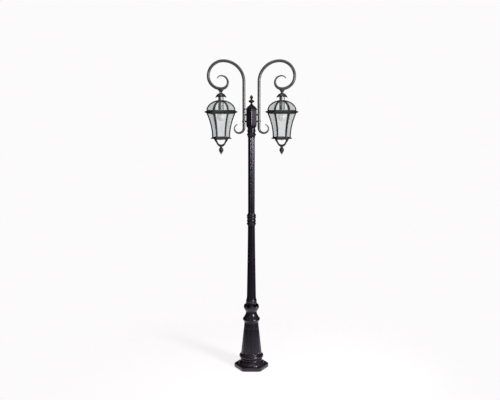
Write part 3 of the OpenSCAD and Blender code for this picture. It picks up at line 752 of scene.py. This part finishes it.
class LAMP_OT_poles(bpy.types.Operator):
    """Foot ring, tapered lower pole and fluted upper pole"""
    bl_idname = "street_lamp.poles"
    bl_label = "Poles"

    def execute(self, context):
        sizes = context.scene.street_lamp_post
        ring = profile(
            [[20, 0], [31, 0]], [[31, 0], [31, 54]],
            [[31, 54], [35.5, 55], [40.3, 58], [42, 62], [41.2, 66.4], [38.6, 69.3]],
            [[39.2, 71.8], [40.9, 76.6], [40, 82], [37.6, 87], [36.2, 93]], [[36.2, 93], [35.4, 102]],
            [[34.4, 102], [34.4, 68]], [[20, 68], [20, 0]])
        place("pole_foot_ring_shape", [turned(ring, base=foot("pole_foot_ring"), closed=True)],
              "post_paint", "pole_foot_ring")
        lower = profile(
            [[31.4, 0], [34.4, 0]], [[34.4, 0], [34.4, 36]],
            [[34.4, 36], [33.2, 96], [32.1, 160], [30.1, 280], [28.4, 399], [27.1, 500],
             [26.2, 586]], [[26.2, 586], [26.2, 616]], [[23.2, 616], [23.2, 586]],
            [[25.4, 399], [29.1, 160]], steps=8)
        stripes = fluted(10, sizes.stripe_depth, 5.4, 40, 580)
        striped = lambda a, r, z: (np.where(r > 25.9, stripes(a, r, z)[0], r + 0 * a), z)
        place("lower_pole_shape",
              [turned(lower, striped, turn(160, -90), base=foot("lower_pole"), closed=True)],
              "post_paint", "lower_pole")
        upper = profile(
            [[20, 0], [25, 0]], [[25, 0], [25, 54]], line([25, 54], [25, 68], 8),
            line([25, 68], [25, 612], 4), line([25, 612], [25, 626], 8), [[25, 626], [25, 651]],
            [[20, 651], [20, 0]])
        flutes = fluted(10, sizes.pole_flute_depth, 5.2, 56, 624)
        ridged = lambda a, r, z: (np.where(r > 24, flutes(a, r, z)[0], r + 0 * a), z)
        place("upper_pole_shape",
              [turned(upper, ridged, turn(200, -90), base=foot("upper_pole"), closed=True)],
              "post_paint", "upper_pole", crease=26.0)
        return {"FINISHED"}


class LAMP_OT_couplers(bpy.types.Operator):
    """Beaded sockets at the middle and the neck of the pole"""
    bl_idname = "street_lamp.couplers"
    bl_label = "Couplers"

    def execute(self, context):
        middle = profile(
            [[26.25, 0], [28, 0]], [[28, 0], [28.3, 4], [29.2, 8]],
            [[29.6, 9.4], [32.6, 12], [34.2, 16.5], [34, 20.6], [31.8, 24.6], [29.5, 26]],
            [[30.2, 28], [32, 32.6], [32.9, 38], [32.9, 43], [32, 48.6], [30.2, 53], [29.2, 55]],
            [[30.4, 57.4], [33.4, 60], [34.4, 64], [33.5, 69], [30.5, 72]],
            [[32, 73.8], [34.2, 77.6], [34.2, 81.6], [32, 86.4], [29, 89], [27.4, 92], [27, 95]],
            [[25.05, 95], [25.05, 37]], [[19, 37], [19, 33]], [[26.25, 33], [26.25, 0]])
        neck = profile(
            [[25.05, 0], [27, 0]], [[27, 0], [27.4, 6], [28, 11]],
            [[29.6, 12.2], [32.4, 16], [33.5, 21], [32.2, 25], [30, 28.4], [28.2, 31], [27, 34.6]],
            [[27.6, 37.4], [30, 41.4], [31, 46.4], [30.4, 52.4], [28.5, 58]],
            [[28.5, 58], [28, 63], [28.5, 69], [30, 74]], [[24, 74], [24, 95]],
            [[19, 95], [19, 28]], [[25.05, 28], [25.05, 0]])
        for node, section in (("mid_coupler", middle), ("neck_coupler", neck)):
            place(f"{node}_shape", [turned(section, base=foot(node), closed=True)],
                  "post_paint", node)
        return {"FINISHED"}


class LAMP_OT_head(bpy.types.Operator):
    """Six-sided head, its moulded cap and the ball finial"""
    bl_idname = "street_lamp.head"
    bl_label = "Head"

    def execute(self, context):
        around = hexagon_turn(30.0)
        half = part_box("head")[1].x / MM
        head = profile(
            [[22, 0], [half - 7.5, 0]],
            [[half - 7.5, 0], [half - 4.5, 1.8], [half - 2.4, 5.4], [half - 1, 12],
             [half - 0.2, 22], [half, 32]],
            line([half, 32], [half, 104], 4),
            [[half, 104], [half - 0.4, 116], [half - 1.3, 127]],
            [[half - 4, 127], [half - 4, 9]], [[22, 9], [22, 0]])
        place("head_shape", [turned(head, hexagonal(0.0, 46.0), around, base=foot("head"),
                                    closed=True)], "post_paint", "head")
        cap = profile(
            [[26, 0], [34, 0]], [[34, 0], [34, 6]], [[34, 6], [41.4, 6]],
            [[41.4, 6], [42.7, 7.4], [43, 9.4], [42.8, 11.6], [41.5, 13.4], [40, 14.6]],
            [[39, 15.2], [36.6, 18.4], [31.6, 24.6], [24, 32], [16.4, 38.6], [11.2, 43],
             [9.2, 47]], [[3, 47], [3, 24]], [[26, 24], [26, 0]])
        place("head_cap_shape",
              [turned(cap, hexagonal(0.0, 60.0, 22.0, 44.0), around, base=foot("head_cap"),
                      closed=True)], "post_paint", "head_cap")
        ball = profile(
            [[0, 0], [3, 0]], [[3, 0], [3, 65]], [[3, 65], [8.2, 65]],
            [[8.2, 65], [7, 68], [6.2, 71], [8.5, 74.4], [13.5, 77.6]],
            [[13.5, 77.6], [19, 81], [21.6, 85], [21.4, 88.4], [18.4, 91.6], [13, 94.6],
             [8, 97.4], [6, 100.4], [6.5, 103.5], [10, 107.6], [12.6, 112.6], [11.6, 118],
             [7.8, 124], [3.8, 128.6], [1.3, 131.6], [0, 133]])
        place("finial_shape", [turned(ball, angles=turn(64), base=foot("finial"))],
              "post_paint", "finial")
        return {"FINISHED"}


# ---------- arms ----------

class LAMP_OT_arms(bpy.types.Operator):
    """Each arm, one tapered bar from its foot scroll over the arch to its tail"""
    bl_idname = "street_lamp.arms"
    bl_label = "Arms"

    tube_radius, stem, spring = 10.8, 55.0, 2159.0
    rise, fall, under = 150.0, 109.0, 91.0

    def route(self):
        """The arm's centre line: a foot scroll of three arcs, the stem, the three quarters of the
        arch, and a tail of arcs that grow tighter."""
        stem, spring, fall = self.stem, self.spring, self.spring + self.rise - self.fall
        lantern = stem + self.rise + self.fall - self.under
        scroll = np.vstack([
            arc(stem + 40, 1820, 30, 75, 0), arc(stem + 37, 1820, 33, 360, 270),
            arc(stem + 37, 1824, 37, 270, 180)])
        bow = np.vstack([
            line([stem, 1830], [stem, spring], 24),
            arc(stem + self.rise, spring, self.rise, 180, 90, 2.0),
            arc(stem + self.rise, fall, self.fall, 90, 0, 2.0),
            arc(lantern, fall, self.under, 360, 262, 2.0)])
        tight = self.under - 45
        turn_x = lantern + tight * math.cos(math.radians(262))
        turn_z = fall + tight * math.sin(math.radians(262))
        tail = np.vstack([
            arc(turn_x, turn_z, 45, 262, 180), arc(turn_x + 3, turn_z, 48, 180, 90),
            arc(turn_x + 3, turn_z + 13, 35, 90, 30)])
        return scroll, bow, tail

    def execute(self, context):
        scroll, bow, tail = self.route()
        path = np.vstack([scroll, bow, tail])
        run = np.concatenate([[0], np.cumsum(np.linalg.norm(np.diff(path, axis=0), axis=1))])
        scroll_end, tail_start = run[len(scroll) - 1], run[len(scroll) + len(bow)]
        keep = np.r_[True, np.diff(run) > 1e-4]
        radius = np.interp(
            run, [0, scroll_end, scroll_end + 20, tail_start, tail_start + 12, run[-1]],
            [3.0, 10.4, self.tube_radius, self.tube_radius, 10.3, 3.2])
        arm = [tube(path[keep], radius[keep])]
        place("arm_shape_right", arm, "arm_paint", "arm_right")
        place("arm_shape_left", mirrored(arm), "arm_paint", "arm_left")
        return {"FINISHED"}


class LAMP_OT_hangers(bpy.types.Operator):
    """Leaf-lipped sockets that join each lantern to its arm"""
    bl_idname = "street_lamp.hangers"
    bl_label = "Hangers"

    def execute(self, context):
        cup = profile(
            [[5.1, 0], [10.6, 0]], [[10.6, 0], [10.2, 1.4], [9.8, 4]],
            [[9.8, 4], [11.6, 8.6], [15.4, 14.2], [18.2, 19.6], [19.2, 25.5]],
            [[19.2, 25.5], [17.6, 26.2], [15.8, 24.4]], [[15.8, 24.4], [8, 14], [5.1, 12]],
            [[5.1, 12], [5.1, 0]])

        def leaves(a, r, z):
            """Dips the lip 7 down between four leaf tips and ribs the leaves' middles."""
            share = np.clip((z - 8) / 18, 0, 1) ** 2
            wave = np.cos(2 * (a - math.radians(45))) ** 2
            return r + share * (1 - wave) * 1.2 * (r > 9), z - 7 * wave * share

        piece = [turned(cup, leaves, turn(96), closed=True)]
        for side in SIDES:
            node = f"hanger_{side}"
            place(f"hanger_shape_{side}", moved(piece, axis_of(side), foot(node)),
                  "arm_paint", node)
        return {"FINISHED"}


# ---------- lanterns ----------

DOME_FOOT, DOME_RISE, DOME_Z = 104.0, 75.0, 1950.0
BODY_FOOT, BODY_FLARE, BODY_POWER = 64.0, 36.7, 1.88
BODY_LOW, BODY_HIGH = 1762.0, 1925.0


def dome_curve(start, end, out=0.0, share=1.0, count=40):
    """Part of the dome's ellipse, from start to end in degrees, moved out and narrowed."""
    t = np.radians(np.linspace(start, end, count))
    r, z = (DOME_FOOT + out) * np.cos(t) * share, DOME_Z + (DOME_RISE + out) * np.sin(t)
    return np.stack([r, z], -1)


def body_curve(low, high, out=0.0, share=1.0, count=48):
    """The flare of the lantern's body: foot radius + flare times the height's share to a power."""
    z = np.linspace(low, high, count)
    rise = np.clip((z - BODY_LOW) / (BODY_HIGH - BODY_LOW), 0, None)
    return np.stack([(BODY_FOOT + BODY_FLARE * rise**BODY_POWER + out) * share, z], -1)


# Section of a glazing rib as [across, out]: a half-round cap over a narrow web.
RIB = [[-2.5, -6.5], [2.5, -6.5], [2.5, -1], [4.5, -1], [4.5, 0.2], [4.0, 1.3], [2.9, 2.1],
       [1.5, 2.6], [0, 2.8], [-1.5, 2.6], [-2.9, 2.1], [-4.0, 1.3], [-4.5, 0.2], [-4.5, -1],
       [-2.5, -1]]
CORNERS = range(0, 360, 60)
FLATS = range(30, 390, 60)


class LAMP_OT_crowns(bpy.types.Operator):
    """Umbrella cap with a rolled lip, and the neck under it"""
    bl_idname = "street_lamp.crowns"
    bl_label = "Crowns"

    def execute(self, context):
        base = foot("crown_cap_left")
        cap = profile(
            [[5.1, 34.5], [10.4, 34.5]],
            [[10.4, 34.5], [13.6, 32], [21.8, 28.2], [30.8, 20.2], [37, 10.6]],
            [[37, 10.6], [39.4, 5.4], [40.4, 2.4], [39.4, 0.4], [37.4, 0.2], [36, 2.2]],
            [[36, 2.2], [32, 9.4], [26, 16.4], [22, 18.4]], [[22, 18.4], [5.1, 18.4]],
            [[5.1, 18.4], [5.1, 34.5]])

        def scalloped(a, r, z):
            """Lifts the lip 11 at the front and the back, on a squared sine."""
            return r + 0 * a, z + 11 * np.sin(a) ** 2 * np.clip((r - 20) / 20, 0, 1)

        both_lanterns("crown_cap", moved([turned(cap, scalloped, turn(96), closed=True)], z=base),
                      "lantern_paint")
        low = foot("neck_tube_left")
        sleeve = profile(
            [[17.8, 0], [19.5, 0]], line([19.5, 0], [19.5, 52], 8), [[19.5, 52], [24, 52]],
            [[24, 52], [24.3, 53.4], [24.3, 54.6], [24, 56]], [[24, 56], [20.4, 56.6]],
            line([19.5, 58], [19.5, 104], 8), [[17.8, 104], [17.8, 0]])
        reeds = fluted(6, 1.2, 1.6, 4, 100, centre=-78.0)
        reeded = lambda a, r, z: (np.where((r > 18.5) & (r < 20), reeds(a, r, z)[0], r + 0 * a), z)
        both_lanterns("neck_tube", moved([turned(sleeve, reeded, turn(180), closed=True)], z=low),
                      "satin_tube")
        return {"FINISHED"}


class LAMP_OT_dome_frames(bpy.types.Operator):
    """Six ribs that carry the dome's panes, with a hub above and a ring in the eave"""
    bl_idname = "street_lamp.dome_frames"
    bl_label = "Dome Frames"

    def execute(self, context):
        curve = dome_curve(2.0, 79.0)
        patches = [rib(curve, RIB, corner) for corner in CORNERS]
        hub = profile(
            [[19.6, 2014], [27, 2014]], [[27, 2014], [29, 2018], [26.8, 2022.8], [23, 2026]],
            [[19.6, 2026], [19.6, 2014]])
        ring = profile([[76, 1944.1], [83.6, 1944.1]], [[83.6, 1951], [76, 1951]])
        patches.append(turned(hub, closed=True))
        patches.append(turned(ring, hexagonal(30.0, 80.0), hexagon_turn(0.0), closed=True))
        both_lanterns("dome_frame", patches, "lantern_paint")
        return {"FINISHED"}


class LAMP_OT_panes(bpy.types.Operator):
    """Bent panes of the dome and of the body"""
    bl_idname = "street_lamp.panes"
    bl_label = "Panes"

    thickness, clearance = 3.0, 2.7

    def sheets(self, curve_of, *reach):
        """Six closed sheets of glass between an outer curve and one a thickness further in."""
        share = math.cos(math.radians(30))
        outer = curve_of(*reach, out=-0.7, share=share)
        inner = curve_of(*reach, out=-0.7 - self.thickness, share=share)
        made = []
        for flat in FLATS:
            made += slab(hexagon_sheet(outer, flat, self.clearance),
                         hexagon_sheet(inner, flat, self.clearance))
        return made

    def execute(self, context):
        both_lanterns("dome_panes", self.sheets(dome_curve, 4.0, 70.3), "clear_glass")
        both_lanterns("body_panes", self.sheets(body_curve, 1757.5, 1926.2), "clear_glass")
        return {"FINISHED"}


class LAMP_OT_eaves(bpy.types.Operator):
    """Sharp hexagonal eave between the dome and the body"""
    bl_idname = "street_lamp.eaves"
    bl_label = "Eaves"

    def execute(self, context):
        base = foot("eave_left")
        section = profile(
            [[76, 11], [84, 11]], [[84, 11], [84, 0]], [[84, 0], [87.6, 0]],
            [[87.6, 0], [89.4, 2.2], [93, 5], [99, 8.2], [105, 11.3]],
            [[105, 11.3], [106.8, 12.4], [107.3, 13.6]], [[106.2, 14.1], [106.2, 14.9]],
            [[107, 15.2], [106.4, 16.2], [105, 16.9]], [[105, 16.9], [99, 19.6], [93.4, 22.8],
                                                       [91.6, 25.4], [91, 28]],
            [[91, 28], [84, 28]], [[84, 28], [84, 17]], [[84, 17], [76, 17]], [[76, 17], [76, 11]])
        eave = turned(section, hexagonal(30.0, 90.0), hexagon_turn(0.0, 32), closed=True)
        both_lanterns("eave", moved([eave], z=base), "lantern_paint", crease=28.0)
        return {"FINISHED"}


class LAMP_OT_body_frames(bpy.types.Operator):
    """Six flared ribs on a bottom flange, with the hinge eyes of the door"""
    bl_idname = "street_lamp.body_frames"
    bl_label = "Body Frames"

    def execute(self, context):
        curve = np.vstack([[BODY_FOOT, 1746.0], body_curve(1748.0, 1934.0)])
        patches = [rib(curve, RIB, corner) for corner in CORNERS]
        flange = profile(
            [[44, 1745], [64, 1745]], [[64, 1745], [66.6, 1746.2], [67.6, 1748], [66.6, 1750.6]],
            [[66.6, 1750.6], [62.8, 1752.4], [60.4, 1754.4], [58.6, 1757]],
            [[58.6, 1757], [50.5, 1757]], [[50.5, 1760], [48, 1760]], [[44, 1756], [44, 1745]])
        ring = profile([[76, 1927.1], [83.6, 1927.1]], [[83.6, 1937.9], [76, 1937.9]])
        corners = hexagon_turn(0.0)
        patches.append(turned(flange, hexagonal(30.0, 60.0), corners, closed=True))
        patches.append(turned(ring, hexagonal(30.0, 80.0), corners, closed=True))
        low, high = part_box("gate_pin_left")
        y, z = (low.y + high.y) / 2 / MM, (low.z + high.z) / 2 / MM
        for x in (-13.5, 13.5):
            patches.append(tube(line([x - 3.4, z], [x + 3.4, z], 6), 4.0, bulge=0.03, y=y))
            patches.append(block([x - 3.5, y - 4, z + 1], [x + 3.5, y + 4, z + 6]))
        both_lanterns("body_frame", patches, "lantern_paint")
        return {"FINISHED"}


class LAMP_OT_gates(bpy.types.Operator):
    """Bottom door of each lantern: a disc on two curved legs, with a hinge barrel and an ear"""
    bl_idname = "street_lamp.gates"
    bl_label = "Doors"

    def execute(self, context):
        base = foot("gate_left")
        disc = profile(
            [[0, 54.5], [51, 54.5]], [[51, 54.5], [52.6, 55.2], [53, 57], [52.6, 59], [51.4, 59.7]],
            [[51.4, 59.7], [0, 59.7]])
        outer = profile([[50, 58], [49.4, 54], [46.4, 48], [42, 42], [38, 35.6], [34.2, 27], [29, 17],
                         [22, 9.4], [14, 3.8], [6, 0.6], [0, 0]])
        inner = profile([[33, 58], [32, 54.5], [29.6, 46], [27.2, 40], [25, 35], [22.4, 30.6],
                         [19, 26.2], [15, 22.8], [10.4, 20], [5, 18.4], [0, 18]])
        path, thickness = (outer + inner) / 2, np.linalg.norm(outer - inner, axis=1)
        leg = band(path, thickness, 12.0)
        boss = profile([[0, 0], [10, 0]], [[10, 0], [10.6, 2.4], [10.4, 6], [8.6, 12]],
                       [[8.6, 12], [0, 13]])
        low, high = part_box("gate_pin_left")
        y, z = (low.y + high.y) / 2 / MM, (low.z + high.z) / 2 / MM - base
        patches = [
            turned(disc), leg, *mirrored([leg]), turned(boss, angles=turn(48)),
            tube(line([-9.6, z], [9.6, z], 8), 4.0, bulge=0.03, y=y),
            block([-9.7, 45, 54.5], [9.7, y + 1, 59]), block([-6, -63, 54.5], [6, -48, 59])]
        both_lanterns("gate", moved(patches, z=base), "lantern_paint")
        bud = profile(
            [[0, 0], [1.6, 0.8], [5.4, 8], [10.4, 16.4], [14.8, 24.8], [17.2, 33.4], [16.4, 40.6],
             [12.6, 46.4]], [[12, 47], [9.8, 49.6], [9, 52], [9.4, 54.6], [10.6, 56]],
            [[10.6, 56], [3, 56]], [[3, 56], [3, 67]], [[3, 67], [0, 67]])
        both_lanterns("bottom_finial", moved([turned(bud, angles=turn(64))],
                                             z=foot("bottom_finial_left")), "lantern_paint")
        return {"FINISHED"}


class LAMP_OT_bulbs(bpy.types.Operator):
    """Pear-shaped opal bulb and its threaded cap"""
    bl_idname = "street_lamp.bulbs"
    bl_label = "Bulbs"

    pitch = 3.63

    def execute(self, context):
        pear = profile(
            [[0, 0], [9, 1.4], [17, 5.3], [24, 12], [28.5, 20.5], [30, 30], [28.9, 39], [25.8, 47.5],
             [21.5, 56], [18, 63], [15.6, 70], [14, 76], [13.2, 79.5]], [[13.2, 79.5], [13.2, 83]],
            [[11.5, 83], [11.5, 79]],
            [[11.5, 79], [12.8, 75], [14.2, 69.5], [16.7, 62.5], [20.2, 55.4], [24.5, 46.9],
             [27.4, 38.8], [28.5, 30], [27.1, 21], [22.9, 13], [16.3, 6.6], [8.7, 2.9], [0, 1.5]])
        both_lanterns("bulb_glass", moved([turned(pear, angles=turn(72))],
                                          z=foot("bulb_glass_left")), "opal")
        shell = profile(
            [[0, 21], [11.8, 21]], [[11.8, 21], [11.8, 0]], [[11.8, 0], [12.9, 0]],
            line([12.9, 0], [12.9, 20.4], 60), [[12.4, 21.2], [10.8, 23], [6, 23.5]],
            [[5, 23.8], [4.6, 25]], [[4.6, 25], [0, 25]])

        def thread(a, r, z):
            """A helical wave: the radius swells by 0.4 (cos(2 pi z / pitch - a) - 0.3)."""
            share = np.clip(z / 2, 0, 1) * np.clip((20.4 - z) / 2, 0, 1) * (r > 12.5)
            return r + 0.4 * share * (np.cos(TAU * z / self.pitch - a) - 0.3), z

        both_lanterns("bulb_cap", moved([turned(shell, thread, turn(72))],
                                        z=foot("bulb_cap_left")), "brass")
        return {"FINISHED"}


class LAMP_OT_fittings(bpy.types.Operator):
    """Finishes for the screws, nuts, leads and holders that come straight from the frame"""
    bl_idname = "street_lamp.fittings"
    bl_label = "Fittings"

    finishes = {
        "zinc_steel": ["head_bracket", "grub_screws", "head_nuts", "post_bolts", "eave_screws_left",
                       "eave_screws_right", "gate_pin_left", "gate_pin_right",
                       "latch_screw_left", "latch_screw_right"],
        "post_paint": ["arm_spacers", "arm_bolts"],
        "brass": ["wire_nipples", "stems", "stem_nuts", "contact_left", "contact_right"],
        "porcelain": ["terminal_block", "lampholder_left", "lampholder_right"],
        "flex": ["wire_left", "wire_right"],
    }

    def execute(self, context):
        for finish, nodes in self.finishes.items():
            for node in nodes:
                for slot in frame["nodes"][node].material_slots:
                    slot.material = finish_named(finish)
        return {"FINISHED"}


# ---------- stage ----------

class LAMP_OT_stage(bpy.types.Operator):
    """Floor, camera, room light and soft lamps"""
    bl_idname = "street_lamp.stage"
    bl_label = "Stage"

    # The floor's radius in millimetres, and where it starts and ends its fade, in metres.
    floor_reach, fade_from, fade_to = 6000.0, 0.55, 1.7
    camera_aside = -0.0105

    # Name, place in metres, size, watts and the point that it faces.
    lamps = [
        ("front_strip", (-1.5, -3.6, 2.7), 0.6, 9.0, (0, 0, 1.2)),
        ("side_screen", (3.0, -3.2, 2.0), 1.0, 170.0, (0, 0, 1.1)),
        ("top_screen", (0.0, -0.6, 4.6), 1.6, 26.0, (0, 0, 1.0)),
    ]

    def floor(self, context):
        """A flat disc that fades into the background away from the post."""
        material, s = new_finish("floor_paper")
        x, y, _ = s.split(s.place())
        away = (x * x + y * y).root()
        grain = s.noise(30.0, 3.0)
        tone = colour(context.scene.street_lamp_stage.floor_colour)
        paper = s.add("ShaderNodeBsdfPrincipled", inputs={
            "Base Color": s.mix(grain, tone, colour([c * 0.985 for c in tone[:3]])),
            "Roughness": 0.9, "Specular IOR Level": 0.1,
            "Emission Color": (0.97, 0.95, 0.955, 1.0), "Emission Strength": 0.85})
        clear = s.add("ShaderNodeBsdfTransparent")
        s.finish(s.add("ShaderNodeMixShader", inputs={
            0: away.ramp(self.fade_from, self.fade_to), 1: paper, 2: clear}))
        points, cells = joined([turned(line([0.0, 0.0], [self.floor_reach, 0.0], 2))])
        mesh = bpy.data.meshes.new("floor")
        mesh.from_pydata(points * MM, [], cells)
        floor = bpy.data.objects.new("floor", mesh)
        floor.data.materials.append(material)
        context.scene.collection.objects.link(floor)

    def room(self, context):
        """White behind the object; as light, dimmer, and darker low down and at the back."""
        world = bpy.data.worlds.new("room")
        world.use_nodes = True
        s = Shader(world.node_tree, "ShaderNodeOutputWorld")
        seen = s.add("ShaderNodeLightPath", out="Is Camera Ray")
        _, back, up = s.split(s.add("ShaderNodeTexCoord", out="Generated"))
        light = (up.ramp(-0.3, 0.9, 0.6, 1.2) * back.ramp(-0.5, 0.75, 1.0, 0.12)
                 * context.scene.street_lamp_stage.room_light)
        glow = s.add("ShaderNodeBackground", inputs={
            "Color": (0.97, 0.98, 1.0, 1.0), "Strength": light})
        backdrop = s.add("ShaderNodeBackground", inputs={
            "Color": (0.975, 0.962, 0.97, 1.0), "Strength": 1.0})
        s.finish(s.add("ShaderNodeMixShader", inputs={0: seen, 1: glow, 2: backdrop}))
        context.scene.world = world

    def lamp(self, context, name, where, size, watts, at):
        """A square soft light at a place, turned to face a point."""
        light = bpy.data.lights.new(name, "AREA")
        light.size, light.energy = size, watts
        lamp = bpy.data.objects.new(name, light)
        lamp.location = where
        way = Vector(at) - Vector(where)
        lamp.rotation_euler = way.to_track_quat("-Z", "Y").to_euler()
        context.scene.collection.objects.link(lamp)

    def execute(self, context):
        stage = context.scene.street_lamp_stage
        camera = bpy.data.objects.new("camera", bpy.data.cameras.new("camera"))
        camera.data.lens = stage.lens
        camera.location = (self.camera_aside, -stage.distance, stage.height)
        camera.rotation_euler = (math.radians(90) - stage.tilt, 0, 0)
        context.scene.collection.objects.link(camera)
        context.scene.camera = camera
        context.scene.view_settings.view_transform = "Standard"
        self.floor(context)
        self.room(context)
        for lamp in self.lamps:
            self.lamp(context, *lamp)
        return {"FINISHED"}


PIECES = (
    LAMP_OT_base_plate, LAMP_OT_pedestal, LAMP_OT_petal_collar, LAMP_OT_poles, LAMP_OT_couplers,
    LAMP_OT_head, LAMP_OT_arms, LAMP_OT_hangers, LAMP_OT_crowns, LAMP_OT_dome_frames,
    LAMP_OT_panes, LAMP_OT_eaves, LAMP_OT_body_frames, LAMP_OT_gates, LAMP_OT_bulbs,
    LAMP_OT_fittings, LAMP_OT_stage,
)
SETTINGS = {
    "street_lamp_post": StreetLampPost,
    "street_lamp_finish": StreetLampFinish,
    "street_lamp_stage": StreetLampStage,
}


class LAMP_PT_panel(bpy.types.Panel):
    """Pieces and settings of the street lamp"""
    bl_idname = "LAMP_PT_panel"
    bl_label = "Street Lamp"
    bl_space_type = "VIEW_3D"
    bl_region_type = "UI"
    bl_category = "Street Lamp"

    def draw(self, context):
        for name, group in SETTINGS.items():
            box = self.layout.box()
            for key in group.__annotations__:
                box.prop(getattr(context.scene, name), key)
        for piece in PIECES:
            self.layout.operator(piece.bl_idname)


def register():
    for cls in (*SETTINGS.values(), *PIECES, LAMP_PT_panel):
        bpy.utils.register_class(cls)
    for name, group in SETTINGS.items():
        setattr(bpy.types.Scene, name, bpy.props.PointerProperty(type=group))


def unregister():
    for name in SETTINGS:
        delattr(bpy.types.Scene, name)
    for cls in reversed((*SETTINGS.values(), *PIECES, LAMP_PT_panel)):
        bpy.utils.unregister_class(cls)


def main():
    register()
    for piece in PIECES:
        group, name = piece.bl_idname.split(".")
        getattr(getattr(bpy.ops, group), name)()


if __name__ == "__main__":
    main()
